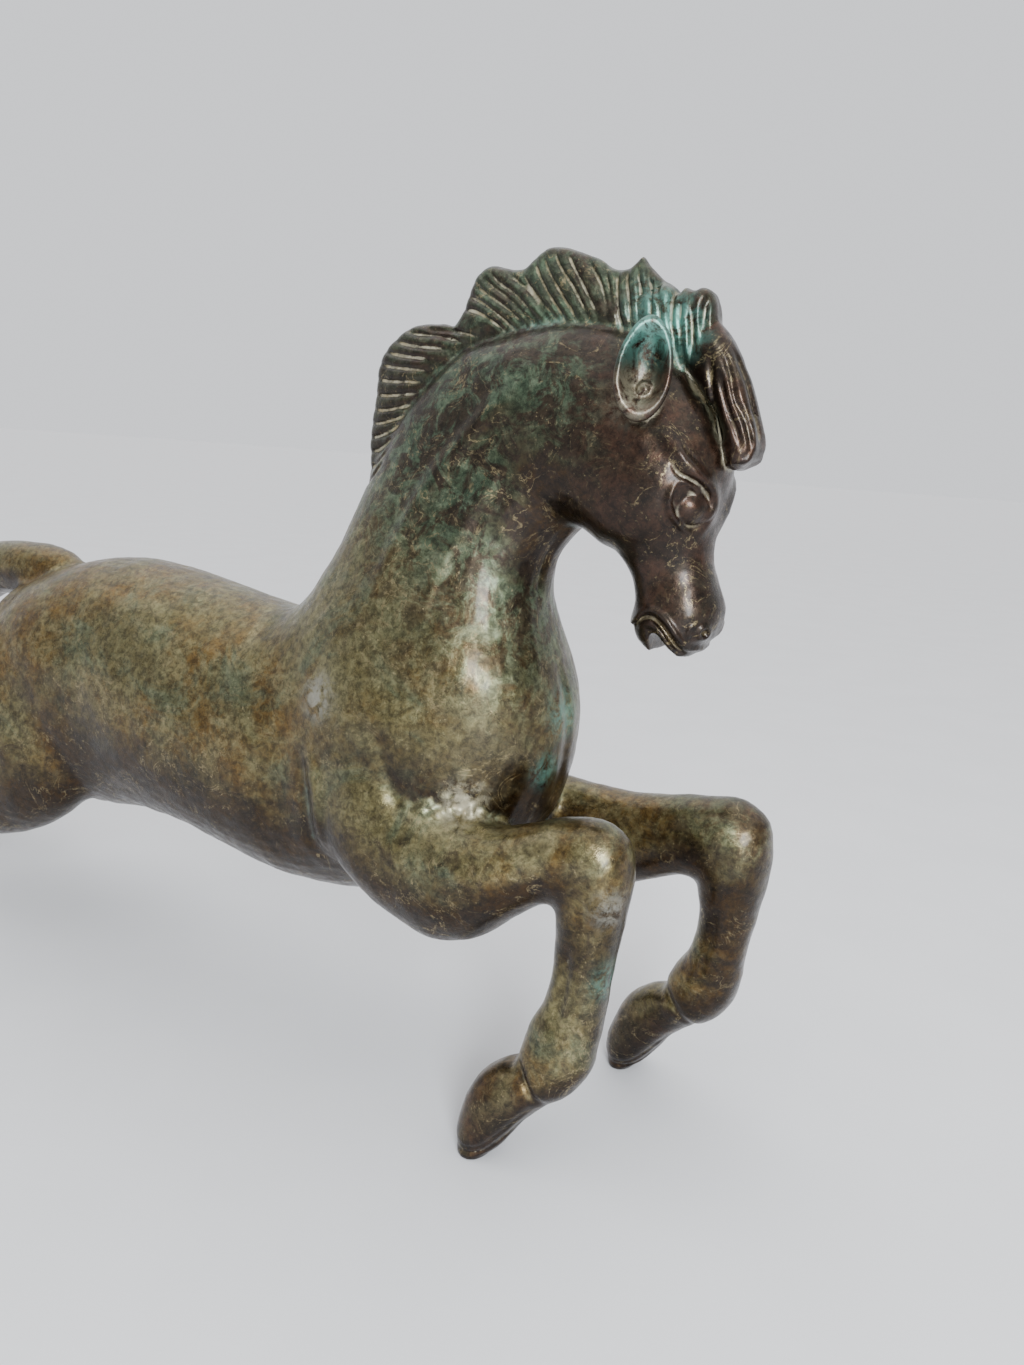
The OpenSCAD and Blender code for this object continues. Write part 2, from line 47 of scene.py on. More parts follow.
FADE = 2.5  # a stroke fades out over this depth at the far end of its reach
MIDDLE = 0.25  # the drawn outlines lie this far behind the middle of the figure

# ---------------------------------------------------------------- drawing tools


def station_middle(rows):
    return (rows[:, 0:2] + rows[:, 2:4]) / 2


def flowing(rows, spacing, at=None):
    """Rows about `spacing` apart on a smooth curve through the given rows."""
    rows = np.array(rows, float)
    at = rows if at is None else at(rows)
    steps = np.linalg.norm(np.diff(at, axis=0), axis=1)[:, None]
    along = np.concatenate([[0], np.cumsum(steps)])
    slopes = np.diff(rows, axis=0) / steps
    bend = np.empty_like(rows)
    bend[0], bend[-1] = slopes[0], slopes[-1]
    bend[1:-1] = (slopes[:-1] * steps[1:] + slopes[1:] * steps[:-1]) / (steps[1:] + steps[:-1])
    t = np.linspace(0, along[-1], max(2, int(along[-1] / spacing) + 1))
    i = np.clip(np.searchsorted(along, t, side="right") - 1, 0, len(rows) - 2)
    h = steps[i]
    s = (t - along[i])[:, None] / h
    return (
        (1 + 2 * s) * (1 - s) ** 2 * rows[i]
        + s * (1 - s) ** 2 * h * bend[i]
        + s * s * (3 - 2 * s) * rows[i + 1]
        + s * s * (s - 1) * h * bend[i + 1]
    )


def loft(stations, sides=56, fullness=2.15):
    """A closed skin over stations [upper x z, lower x z, half width, y of centre, egg]."""
    s = flowing(stations, 2.0, at=station_middle)
    middle, up = station_middle(s), (s[:, 0:2] - s[:, 2:4]) / 2
    angle = np.arange(sides) * 2 * math.pi / sides

    def soft(v):
        return np.sign(v) * np.abs(v) ** (2 / fullness)

    rise = soft(np.cos(angle))
    width = soft(np.sin(angle)) * (1 - s[:, 6:7] * np.cos(angle))
    x = middle[:, 0:1] + up[:, 0:1] * rise + MIDDLE
    z = middle[:, 1:2] + up[:, 1:2] * rise
    y = s[:, 5:6] + s[:, 4:5] * width
    points = np.stack([x, y, z], axis=2).reshape(-1, 3)
    count = len(s)
    k = np.arange(sides)
    base = (np.arange(count - 1) * sides)[:, None]
    after = (k + 1) % sides
    quads = np.stack([base + k, base + after, base + sides + after, base + sides + k], axis=2)
    first, last = len(points), len(points) + 1
    points = np.vstack([points, points[:sides].mean(0), points[-sides:].mean(0)])
    end = (count - 1) * sides
    caps = np.vstack([
        np.stack([after, k, np.full(sides, first)], axis=1),
        np.stack([end + k, end + after, np.full(sides, last)], axis=1),
    ])
    return points, quads.reshape(-1, 4), caps


def lattice(x, y, z, cell, seed):
    """Smooth noise, about -1 to 1, that changes over `cell` millimetres."""
    size = [int(2 * half / cell) + 3 for half in (240, 60, 290)]
    value = np.random.RandomState(seed).uniform(-1, 1, size).astype(np.float32)
    for axis, (line, half) in enumerate(((x, 240), (y, 60), (z, 290))):
        at = (line.ravel() + half) / cell
        i = np.clip(np.floor(at).astype(int), 0, size[axis] - 2)
        f = at - i
        f = (f * f * (3 - 2 * f)).astype(np.float32)
        shape = [1, 1, 1]
        shape[axis] = -1
        f = f.reshape(shape)
        value = np.take(value, i, axis) * (1 - f) + np.take(value, i + 1, axis) * f
    return value


class Clay:
    """A block of signed distances, negative inside the bronze, and whose casting each is."""

    def __init__(self, low, high, voxel):
        self.voxel = voxel
        self.first = np.floor(np.array(low) / voxel).astype(int)
        self.last = np.ceil(np.array(high) / voxel).astype(int)
        shape = self.last - self.first + 1
        self.depth = np.full(shape, BAND, np.float32)
        self.owner = np.zeros(shape, np.int8)
        self.names = []

    def window(self, low, high):
        """Where a box lies in the block, and the coordinates of its voxels."""
        a = np.maximum(np.floor(np.array(low) / self.voxel).astype(int), self.first)
        b = np.minimum(np.ceil(np.array(high) / self.voxel).astype(int), self.last)
        if (a > b).any():
            return None, (None, None, None), None
        where = tuple(slice(i, j + 1) for i, j in zip(a - self.first, b - self.first))
        lines = [np.arange(i, j + 1, dtype=np.float32) * self.voxel for i, j in zip(a, b)]
        return where, np.ix_(*lines), a

    def join(self, where, new, name, blend):
        """Adds a solid, with a fillet of about `blend` where it meets the rest."""
        if name not in self.names:
            self.names.append(name)
        old = self.depth[where]
        self.owner[where][new < old] = self.names.index(name)
        h = np.clip(0.5 + (old - new) / (2 * blend), 0, 1)
        self.depth[where] = old + (new - old) * h - blend * h * (1 - h)

    def add_skin(self, skin, name, blend):
        points, quads, caps = skin
        where, _, start = self.window(points.min(0) - BAND, points.max(0) + BAND)
        if where is None:
            return
        grid = openvdb.FloatGrid.createLevelSetFromPolygons(
            points.astype(np.float32),
            triangles=caps.astype(np.uint32),
            quads=quads.astype(np.uint32),
            transform=openvdb.createLinearTransform(self.voxel),
            halfWidth=BAND / self.voxel,
        )
        new = np.empty(self.depth[where].shape, np.float32)
        grid.copyToArray(new, ijk=tuple(int(v) for v in start))
        self.join(where, new, name, blend)

    def add_ball(self, centre, radii, name, blend):
        centre, radii = np.array(centre), np.abs(radii)
        where, (x, y, z), _ = self.window(centre - radii - BAND, centre + radii + BAND)
        if where is None:
            return
        a, b, c = (x - centre[0]) / radii[0], (y - centre[1]) / radii[1], (z - centre[2]) / radii[2]
        far = np.sqrt(a * a + b * b + c * c)
        steep = np.sqrt((a / radii[0]) ** 2 + (b / radii[1]) ** 2 + (c / radii[2]) ** 2)
        new = far * (far - 1) / np.maximum(steep, 1e-4)
        self.join(where, np.clip(new, -BAND, BAND), name, blend)

    def swell(self, centre, radii, height):
        """Raises the surface around a place, or sinks it where height is negative."""
        centre, radii = np.array(centre), np.abs(radii)
        where, lines, _ = self.window(centre - 2.2 * radii, centre + 2.2 * radii)
        if where is None:
            return
        far = sum(((p - c) / r) ** 2 for p, c, r in zip(lines, centre, radii))
        self.depth[where] -= height * np.exp(-far)

    def stroke(self, path, width, height, facing, reach=9.0, even=False):
        """Raises, or cuts where height is negative, a line on the side that looks along facing."""
        path = flowing(path, 1.0)
        facing = np.array(facing, float) / np.linalg.norm(facing)
        across = np.cross(facing, (0, 0, 1) if abs(facing[2]) < 0.9 else (1, 0, 0))
        across /= np.linalg.norm(across)
        other = np.cross(facing, across)
        room = 1.6 * width + reach * np.abs(facing)
        where, (x, y, z), _ = self.window(path.min(0) - room, path.max(0) + room)
        if where is None:
            return
        u = x * across[0] + y * across[1] + z * across[2]
        v = x * other[0] + y * other[1] + z * other[2]
        flat = np.stack([path @ across, path @ other], axis=1)
        best = np.full(u.shape, 1e6, np.float32)
        part = np.zeros(u.shape, np.float32)
        for i, (a, b) in enumerate(zip(flat[:-1], flat[1:])):
            run = b - a
            t = np.clip(((u - a[0]) * run[0] + (v - a[1]) * run[1]) / (run @ run + 1e-9), 0, 1)
            far = (u - a[0] - t * run[0]) ** 2 + (v - a[1] - t * run[1]) ** 2
            nearer = far < best
            best = np.where(nearer, far, best)
            part = np.where(nearer, (i + t) / (len(flat) - 1), part)
        shape = np.exp(-best / (width / 2) ** 2)
        deep = x * facing[0] + y * facing[1] + z * facing[2] - (path @ facing).min()
        shape *= np.clip((deep + reach) / FADE, 0, 1)
        if not even:
            shape *= np.minimum(1, 0.15 + 4 * np.minimum(part, 1 - part))
        self.depth[where] -= height * shape

    def both(self, tool, *places, **how):
        """Uses a tool on the horse's right side and on its left side."""
        tool(*places, **how)
        turned = [np.array(p, float) * (1, -1, 1) if np.ndim(p) else p for p in places]
        tool(*turned, **how)


# ---------------------------------------------------------------- the horse's shape
# A station is one cross-section: upper x and z, lower x and z, half width, y of its centre
# and egg shape, which is how much wider the lower half is. The castings' sizes are the part's.

HIP, BARREL, CHEST, NECK, THROAT, HEAD, MUZZLE = 35.5, 35.5, 35, 28, 16.5, 19, 12.5
trunk = [
    (-93, 121, -97, 97, HIP * 0.3, 0, 0),
    (-89, 134, -93, 80, HIP * 0.66, 0, 0),
    (-76, 143, -80, 67, HIP * 0.9, 0, 0),
    (-56, 150, -58, 59, HIP, 0, 0),
    (-34, 154, -32, 58, HIP, 0, 0.05),
    (-12, 153.5, -8, 61, HIP, 0, 0.1),
    (12, 150.5, 14, 60, BARREL, 0, 0.12),
    (32, 147.5, 36, 56.5, BARREL, 0, 0.12),
    (45, 146.5, 60, 54, BARREL, 0, 0.12),
    (53, 149, 84, 55.5, CHEST, 0, 0.1),
    (58, 153.5, 106, 61.5, CHEST, 0, 0.1),
    (62.5, 159, 126, 71.5, CHEST * 1.02, 0, 0.1),
    (66, 164.5, 143, 88, CHEST, 0, 0.1),
    (69.5, 171, 151, 108, (CHEST + NECK) / 2, 0, 0.1),
    (73.5, 180, 151, 128, NECK, 0, 0.14),
    (78, 192.5, 145.5, 145, (NECK + THROAT) * 0.52, 0, 0.18),
    (85.5, 207, 141.5, 160, THROAT * 1.22, 0, 0.2),
    (96.5, 220.5, 143.5, 173, THROAT * 1.08, 0, 0.2),
    (111, 231, 149, 181, THROAT, 0, 0.16),
    (129, 236.5, 151, 182.5, (THROAT + HEAD) / 2, 0, 0.12),
    (146, 238.5, 153, 182, HEAD * 0.96, 0, 0.1),
    (162, 236, 155, 181, HEAD, 0, 0.1),
    (176, 228, 157, 180, HEAD, 0, 0.1),
    (187, 216, 159.5, 178.5, HEAD, 0, 0.05),
    (192, 202, 163.5, 177, HEAD * 0.93, 0, 0),
    (190.5, 189.5, 167.5, 172.5, HEAD * 0.72, 0, 0),
    (189.6, 178.5, 169.8, 166.5, MUZZLE * 0.94, 0, 0),
    (192.2, 170, 170.2, 161.5, MUZZLE * 0.97, 0, 0),
    (194, 162.5, 170.6, 157.5, MUZZLE, 0, 0),
    (192.3, 156.5, 172.3, 154, MUZZLE * 0.94, 0, 0),
    (187.5, 151.2, 175, 151.8, MUZZLE * 0.7, 0, 0),
]
SEAMS = {"loin": 4, "shoulder": 8, "neck": 14, "head": 19}  # the stations where castings meet

ARM, KNEE, CANNON, FETLOCK, HOOF, THIGH = 13, 11, 8.5, 10, 9.5, 17
SHOULDERS, HAUNCHES, FORE_TRACK, HIND_TRACK = 40.5, 40.5, 33, 31
fore = [
    (96, 116, 80, 92, ARM * 0.7, CHEST - ARM * 0.7 - 3, 0),
    (106, 110, 88, 80, ARM * 0.95, SHOULDERS - ARM * 0.95 - 2, 0),
    (116, 104, 100, 69, ARM * 1.08, SHOULDERS - ARM * 1.08, 0),
    (126, 100, 114, 62.5, ARM * 1.1, SHOULDERS - ARM * 1.1, 0),
    (136, 98, 128, 60, ARM * 1.04, SHOULDERS - ARM * 1.04, 0),
    (145, 98, 141, 63.5, ARM * 0.97, FORE_TRACK * 0.8, 0),
    (154, 100.5, 152, 72, (ARM + KNEE) / 2, FORE_TRACK * 0.74, 0),
    (164, 104, 160.5, 78, KNEE, FORE_TRACK * 0.68, 0),
    (175, 105, 163.5, 77, KNEE, FORE_TRACK * 0.66, 0),
    (182, 100.5, 164, 75, KNEE, FORE_TRACK * 0.66, 0),
    (184.5, 92, 164.5, 72.5, KNEE, FORE_TRACK * 0.67, 0),
    (184, 80, 165, 68.5, (KNEE + CANNON) / 2, FORE_TRACK * 0.69, 0),
    (182.5, 66, 165, 60.5, CANNON, FORE_TRACK * 0.71, 0),
    (181.5, 53, 163.5, 51, CANNON, FORE_TRACK * 0.74, 0),
    (181, 42, 160, 42.5, (CANNON + FETLOCK) / 2, FORE_TRACK * 0.78, 0),
    (180, 33, 158.5, 35.5, FETLOCK, FORE_TRACK * 0.81, 0),
    (176, 26, 157.5, 30.5, FETLOCK * 0.94, FORE_TRACK * 0.84, 0),
    (170, 21, 153, 28.5, HOOF * 0.92, FORE_TRACK * 0.88, 0),
    (164.5, 15, 147, 23, HOOF, FORE_TRACK * 0.92, 0),
    (160, 8.5, 143.5, 14, HOOF, FORE_TRACK * 0.96, 0),
    (157, 4, 142.5, 6.5, HOOF * 0.94, FORE_TRACK * 0.98, 0),
    (153.5, 0, 144, 0, HOOF * 0.8, FORE_TRACK, 0),
]
FURTHER, LIFT = 27, 5  # how far the left foreleg reaches past the right one, and its fetlock
REACH = [0, 0, 0, 0.2, 0.42, 0.6, 0.78, 0.93, 1, 1, 1, 1,
         0.98, 0.96, 0.95, 0.92, 0.9, 0.86, 0.82, 0.78, 0.74, 0.72]
RISE = [0, 0, 0, 0, 0, 0, 0, 0, 0, 0, 0, 0, 0, 0.3, 0.7, 1, 1, 1, 0.8, 0.4, 0.1, 0]
hind = [
    (-78, 128, -36, 86, THIGH * 0.55, HIP - THIGH * 0.55 - 3, 0),
    (-87, 116, -34, 70, THIGH * 0.85, HAUNCHES - THIGH * 0.85 - 2, 0),
    (-95, 102, -45, 56, THIGH, HAUNCHES - THIGH, 0),
    (-101, 89, -61, 46, THIGH, HAUNCHES - THIGH, 0),
    (-109, 79, -77, 40.5, THIGH * 0.94, HAUNCHES - THIGH * 0.94, 0),
    (-120, 73, -95, 40, THIGH * 0.8, HIND_TRACK * 0.9, 0),
    (-133, 70, -112, 43, THIGH * 0.66, HIND_TRACK * 0.97, 0),
    (-146, 69.5, -128, 45.5, KNEE * 0.96, HIND_TRACK, 0),
    (-155, 64, -139, 43.5, KNEE * 0.96, HIND_TRACK * 0.98, 0),
    (-162, 55, -149, 38.5, CANNON * 1.08, HIND_TRACK * 0.97, 0),
    (-170, 46, -159, 31.5, CANNON, HIND_TRACK * 0.96, 0),
    (-179, 38.5, -168, 23.5, CANNON, HIND_TRACK * 0.96, 0),
    (-189, 32, -175, 16.5, FETLOCK, HIND_TRACK * 0.97, 0),
    (-196.5, 26.5, -182, 12, FETLOCK * 0.92, HIND_TRACK * 0.98, 0),
    (-203.5, 22, -188, 8, HOOF * 0.96, HIND_TRACK * 0.99, 0),
    (-210, 14, -193, 4.5, HOOF, HIND_TRACK, 0),
    (-212, 6, -197, 1.5, HOOF * 0.96, HIND_TRACK, 0),
    (-211, 0, -200, 0, HOOF * 0.84, HIND_TRACK, 0),
]
TAIL = 10.5
tail = [
    (-65, 148.5, -74, 138, TAIL * 0.35, 0, 0),
    (-69, 151, -81, 133, TAIL * 0.72, 0, 0),
    (-80, 153.6, -90, 132, TAIL * 0.93, 0, 0),
    (-97, 154, -100, 132, TAIL, 0, 0),
    (-115, 152, -112, 130.5, TAIL, 0, 0),
    (-132, 145.5, -123, 126, TAIL, 0, 0),
    (-147, 134, -134, 118, TAIL * 0.96, 0, 0),
    (-158, 119.5, -144, 107.5, TAIL * 0.88, 0, 0),
    (-167, 103.5, -153.5, 95, TAIL * 0.76, 0, 0),
    (-175, 89, -164, 83.5, TAIL * 0.55, 0, 0),
    (-181.5, 78, -174, 75, TAIL * 0.34, 0, 0),
    (-182.5, 74, -178.5, 73, TAIL * 0.16, 0, 0),
]
LOCK = 7
forelock = [
    (180, 243, 173, 229, LOCK * 0.7, 0, 0),
    (187.5, 236, 177.5, 226, LOCK * 0.9, 0, 0),
    (193.7, 226, 183.5, 219.5, LOCK, 0, 0),
    (197.4, 216.5, 188.4, 212, LOCK * 1.04, 0, 0),
    (199, 209, 190.6, 205, LOCK, 0, 0),
    (198, 204, 191.8, 201.8, LOCK * 0.85, 0, 0),
    (195.6, 201.8, 193.4, 201.2, LOCK * 0.5, 0, 0),
]

# The mane's plates, as x and z in the middle plane
mane_back = [
    (84, 180), (77, 186), (76.4, 197), (76.2, 207), (77.6, 216), (78.2, 224), (81.3, 231),
    (85.5, 234.6), (90.3, 236.9), (98, 237.6), (104, 237.2), (109, 231), (106, 218), (94, 198),
]
mane_front = [
    (104, 229), (105, 237.2), (107, 240), (109.3, 245.4), (112.5, 251.5), (115.8, 253.4),
    (120, 253), (123.8, 252.3), (127, 252.6), (130.4, 255.4), (134.5, 258), (138, 258.2),
    (144, 256.8), (149.2, 254.9), (155.2, 251.9), (158, 251.8), (160.4, 253), (162.4, 255),
    (164.4, 252.8), (168.1, 249.5), (172, 246.4), (170, 232), (157, 226), (131, 227),
]
topknot = [
    (166, 228), (167, 246), (170.5, 247.3), (173, 246.2), (174.3, 245.2), (176, 246.6),
    (178, 245.8), (180, 246.4), (182.9, 245.5), (184.4, 242.5), (185.2, 235), (184.5, 229),
    (178, 224),
]


def leg_stations(rows, side, further=0.0, lift=0.0):
    """A leg's stations on the right, side -1, or the left, side 1, drawn out below the table."""
    rows = np.array(rows, float)
    if further:
        rows[:, [0, 2]] += further * np.array(REACH)[:, None]
        rows[:, [1, 3]] += lift * np.array(RISE)[:, None]
    rows[:, 5] *= side
    below = rows[-1] + (rows[-1] - rows[-2]) * 0.5
    below[[1, 3]] = -3
    return np.vstack([rows, below])


def outline_distance(outline, x, z):
    """Signed distance in the middle plane from a closed outline, smoothed through its points."""
    closed = flowing(list(outline) + [outline[0]], 0.8)
    best = np.full(np.broadcast(x, z).shape, 1e6, np.float32)
    inside = np.zeros(best.shape, bool)
    for (ax, az), (bx, bz) in zip(closed[:-1], closed[1:]):
        rx, rz = bx - ax, bz - az
        t = np.clip(((x - ax) * rx + (z - az) * rz) / (rx * rx + rz * rz + 1e-9), 0, 1)
        best = np.minimum(best, (x - ax - t * rx) ** 2 + (z - az - t * rz) ** 2)
        if rz:
            inside ^= ((az > z) != (bz > z)) & (x < ax + (z - az) * rx / rz)
    best = np.sqrt(best)
    return np.where(inside, -best, best)


def add_plate(clay, outline, name, rim, thick, rise, blend):
    """An upright plate, `rim` thick at its edge and `thick` from `rise` inside it."""
    corners = np.array(outline, float)
    low, high = corners.min(0), corners.max(0)
    where, (x, y, z), _ = clay.window(
        (low[0] - BAND, -thick / 2 - BAND, low[1] - BAND),
        (high[0] + BAND, thick / 2 + BAND, high[1] + BAND),
    )
    if where is None:
        return
    edge = outline_distance(outline, x, z)
    half = rim / 2 + (thick - rim) / 2 * np.sqrt(np.clip(-edge / rise, 0, 1))
    side = np.abs(y) - half
    round_by = 2.5
    h = np.clip(0.5 + (side - edge) / (2 * round_by), 0, 1)
    new = edge + (side - edge) * h + round_by * h * (1 - h)
    clay.join(where, np.clip(new, -BAND, BAND), name, blend)


def cut_notch(clay, outline, half_width, blend):
    """Cuts an outline right through from side to side."""
    corners = np.array(outline, float)
    low, high = corners.min(0), corners.max(0)
    where, (x, y, z), _ = clay.window(
        (low[0] - 3, -half_width, low[1] - 3), (high[0] + 3, half_width, high[1] + 3)
    )
    if where is None:
        return
    cut = -outline_distance(outline, x, z) + 0 * y
    old = clay.depth[where]
    h = np.clip(0.5 + (cut - old) / (2 * blend), 0, 1)
    clay.depth[where] = old + (cut - old) * h + blend * h * (1 - h)


# ---------------------------------------------------------------- the head

EYE_FACING = (0.66, -0.75, 0)
CHEEK_FACING = (0.45, -0.89, 0)
SIDE = (0, -1, 0)


def sculpt_face(clay):
    both = clay.both
    both(clay.swell, (178, -17.5, 196), (9, 7, 15), 0.9)  # cheek bone
    both(clay.swell, (163, -18, 190), (13, 6, 15), 0.9)  # jaw muscle
    both(clay.swell, (181, -12, 176), (7, 7, 9), -1.2)  # hollow under the cheek bone
    both(clay.swell, (187.3, -12.4, 191.3), (5, 6, 6), -1.5)  # socket of the eye
    both(clay.add_ball, (184.5, -9.3, 191.4), (5.4, 5.4, 5.1), "head_casting", 0.3)
    brow = [(178.5, -16.8, 211), (181, -16.2, 207), (183.6, -15.4, 203.4), (186.6, -14, 200.6),
            (189.2, -12.1, 198), (191, -8.8, 195.4), (191.7, -7, 192.2), (191.3, -7.4, 189),
            (190.1, -8.4, 186.2), (188.4, -10, 184)]
    both(clay.stroke, brow, 4.2, 2.0, EYE_FACING)
    under_brow = [(180.6, -16.2, 203.5), (183, -16.2, 200), (186, -14.4, 198.4),
                  (188.4, -12.2, 197), (190, -10.2, 194.8), (190.8, -9, 191.5)]
    both(clay.stroke, under_brow, 1.3, -0.8, EYE_FACING)
    lower_lid = [(183.2, -16.2, 197.6), (182.2, -16.7, 195.1), (181.7, -16.9, 192.5),
                 (182.3, -15.9, 189.8), (183.8, -14.1, 187.4), (185.7, -12.6, 185.6),
                 (187.8, -11.2, 184.6)]
    both(clay.stroke, lower_lid, 1.6, 1.2, EYE_FACING)
    upper_lid = [(183.2, -16.2, 197.6), (185.2, -15.2, 197.4), (187.4, -13.4, 196),
                 (188.6, -12, 194.4)]
    both(clay.stroke, upper_lid, 1.2, 0.6, EYE_FACING)


def sculpt_mouth(clay):
    both = clay.both
    both(clay.swell, (189.5, -6, 163), (6, 7, 7), 0.8)  # nostril swelling
    lip = [(173.2, -10.4, 158.6), (174.4, -10.8, 160.9), (176.4, -11.4, 163), (178.9, -11.9, 163.7),
           (181.9, -12.1, 162.4), (184.8, -11.9, 159.4), (186.8, -10, 156.3), (188.6, -8.1, 154.2),
           (191.5, -3, 153.2)]
    gap = [(174.4, -11, 157.6), (176.4, -11.5, 160.6), (178.9, -12, 161.5), (181.6, -12.3, 160.2),
           (184, -11.7, 157.4), (185.8, -9.8, 154.4), (187.4, -7, 152.6)]
    inner = [(176.5, -12, 157.6), (178.5, -12.2, 159.4), (180.6, -12.3, 159), (182.6, -12.3, 157.2),
             (184.3, -11.2, 154.6), (185.6, -8, 152.2)]
    both(clay.stroke, lip, 1.7, 0.9, CHEEK_FACING, even=True)
    both(clay.stroke, gap, 1.1, -1.2, CHEEK_FACING)
    both(clay.stroke, inner, 1.3, 0.7, CHEEK_FACING)
    mouth = [(177.7, 147), (177.8, 153), (178.3, 155.6), (179.2, 157), (180.9, 156.9),
             (182.4, 155.3), (184.2, 153.1), (185.8, 150.6), (186, 147)]
    cut_notch(clay, mouth, 16, 0.6)
    nostril = [(190.6 + 1.8 * math.sin(a), -3.2, 158.6 + 1.8 * math.cos(a))
               for a in np.linspace(0, 2 * math.pi, 14)]
    both(clay.stroke, nostril, 1.2, 0.8, CHEEK_FACING, even=True)
    both(clay.stroke, [(190.4, -3.2, 158.6), (190.8, -3.2, 158.6)], 1.4, -0.8, CHEEK_FACING, even=True)
    comma = [(190.2, -8.4, 160.8), (189, -9.2, 160), (188.3, -9.2, 158.6), (188.7, -8, 157)]
    both(clay.stroke, comma, 1.0, 0.6, CHEEK_FACING)


EAR_CENTRE = np.array((174.2, -21.9, 224.6))
EAR_LENGTH, EAR_WIDTH, EAR_TURN, EAR_LEAN = 27.5, 15.5, 24, 5


def add_ear(clay, side):
    """A leaf-shaped bowl with a thick rolled rim, on the right (-1) or the left (1)."""
    turn, lean = math.radians(EAR_TURN), math.radians(EAR_LEAN)
    out = np.array((math.sin(turn), -math.cos(turn), 0.05))
    out /= np.linalg.norm(out)
    up = np.array((math.sin(lean), 0, math.cos(lean)))
    up -= out * (up @ out)
    up /= np.linalg.norm(up)
    across = np.cross(up, out) * -1
    centre = EAR_CENTRE * (1, -side, 1)
    flip = np.array((1, -side, 1))
    low, high = centre - 24, centre + 24
    where, (x, y, z), _ = clay.window(low, high)
    if where is None:
        return
    d = [x - centre[0], y - centre[1], z - centre[2]]
    u, v, n = (sum(a * b for a, b in zip(d, axis * flip)) for axis in (across, up, out))
    tall = v / (EAR_LENGTH / 2)
    wide = u / (EAR_WIDTH / 2 * (1 - 0.16 * tall - 0.06 * tall * tall))
    behind = np.clip(-n, 0, 12)
    q = np.sqrt(tall * tall + wide * wide + 1e-6)
    edge = (q * (1 + 0.035 * behind) - 1) * EAR_WIDTH / 2 * 0.95
    flat = np.abs(n + 5) - 5
    h = np.clip(0.5 + (flat - edge) / 4.4, 0, 1)
    shell = edge + (flat - edge) * h + 2.2 * h * (1 - h)
    floor = -5.4 * (1 - np.clip(q / 0.73, 0, 1.3) ** 2.4)
    bowl = (n - floor) * 0.8
    h = np.clip(0.5 + (bowl - shell) / 3.4, 0, 1)
    ear = shell + (bowl - shell) * h + 1.7 * h * (1 - h)
    name = "right_ear" if side < 0 else "left_ear"
    clay.join(where, np.clip(ear, -BAND, BAND).astype(np.float32), name, 1.2)
    boss = centre + flip * (-1.2 * across - 5.0 * up - 4.6 * out)
    clay.add_ball(boss, (2.4, 2.4, 2.4), name, 0.3)
    ring = [boss + flip * (1.35 * math.cos(a) * across + 1.35 * math.sin(a) * up)
            for a in np.linspace(0, 2 * math.pi, 14)]
    clay.stroke(ring, 0.7, -0.45, flip * out, reach=4, even=True)


# ---------------------------------------------------------------- mane and forelock

# Grooves on the mane, as x and z from the crest down to the neck
BACK_GROOVES = [
    [(77.5, 189), (82.3, 191.5), (88, 197)],
    [(76.5, 194), (81.6, 195.5), (90, 201)],
    [(76.2, 199), (81.3, 200), (91, 205)],
    [(76, 203.6), (80.6, 204), (92, 208.4)],
    [(76, 208), (80.9, 208), (93.5, 211)],
    [(77, 212.4), (81.8, 212), (95, 214)],
    [(77.4, 216.8), (82.1, 216.4), (96.5, 217.3)],
    [(77.6, 221.4), (82.4, 220.8), (98, 220.5)],
    [(78.5, 226), (82.7, 225.2), (99.5, 223.7)],
    [(80, 230), (84, 229), (101.5, 226.9)],
    [(83.5, 233.5), (87, 232.2), (106, 230.1)],
    [(88, 236.4), (91, 235), (101, 234), (111, 232)],
    [(94, 237.8), (96, 236.5), (106, 235.3), (116, 233.5)],
]
FRONT_GROOVES = [
    [(107, 242), (115.5, 240), (125, 234.8)],
    [(109, 245.6), (117, 242.4), (128.6, 234.6)],
    [(110.6, 249), (116.5, 245.6), (125, 241), (132, 235.6)],
    [(112.6, 252), (117.2, 248.4), (126, 243), (134.6, 236)],
    [(115.5, 254), (118, 250.4), (127, 244.6), (136.3, 236.6)],
    [(121, 253.6), (124, 250.4), (130.3, 246.1), (139.7, 236.6)],
    [(126, 253), (128.5, 249.5), (134, 244.2), (142, 237)],
    [(130, 256), (132.4, 251.6), (138.4, 243.8), (144.9, 236)],
    [(132.8, 257.6), (135, 253.2), (140.7, 245.6), (148.1, 236.6)],
    [(136, 259), (138, 254.6), (144.8, 246.3), (151.4, 237)],
    [(140, 258.6), (141.4, 255.4), (146.3, 248.4), (153.8, 237.6)],
    [(145.4, 257), (147.4, 253.8), (152.1, 247.5), (156, 238.6)],
    [(150.6, 255), (152, 252), (154.4, 247), (157, 240)],
    [(156, 253), (156.6, 248.2), (157.8, 242.6), (160.4, 234)],
    [(159.2, 253), (159.5, 248.1), (160.9, 243.9), (162.6, 236)],
    [(162.2, 254), (162.4, 250.1), (163.8, 246), (165, 238)],
    [(165.2, 252.8), (165.3, 249.6), (167, 245.4), (168.6, 236)],
    [(168.6, 250), (168.4, 247), (170.3, 242), (171.6, 234)],
]
TOP_GROOVES = [
    [(173.4, 246.6), (173.6, 242), (175, 235), (176.6, 229), (178, 224)],
    [(176.2, 246), (176.2, 241), (177, 235), (178.6, 227.4), (181.4, 221.5), (184.6, 216)],
    [(179.4, 246.8), (179.2, 242), (180.2, 234.3), (181.6, 226), (184.4, 219.6), (187.8, 213.5),
     (190, 206.5)],
    [(183, 244.4), (182.4, 240), (183.2, 232.9), (184.4, 226.2)],
]


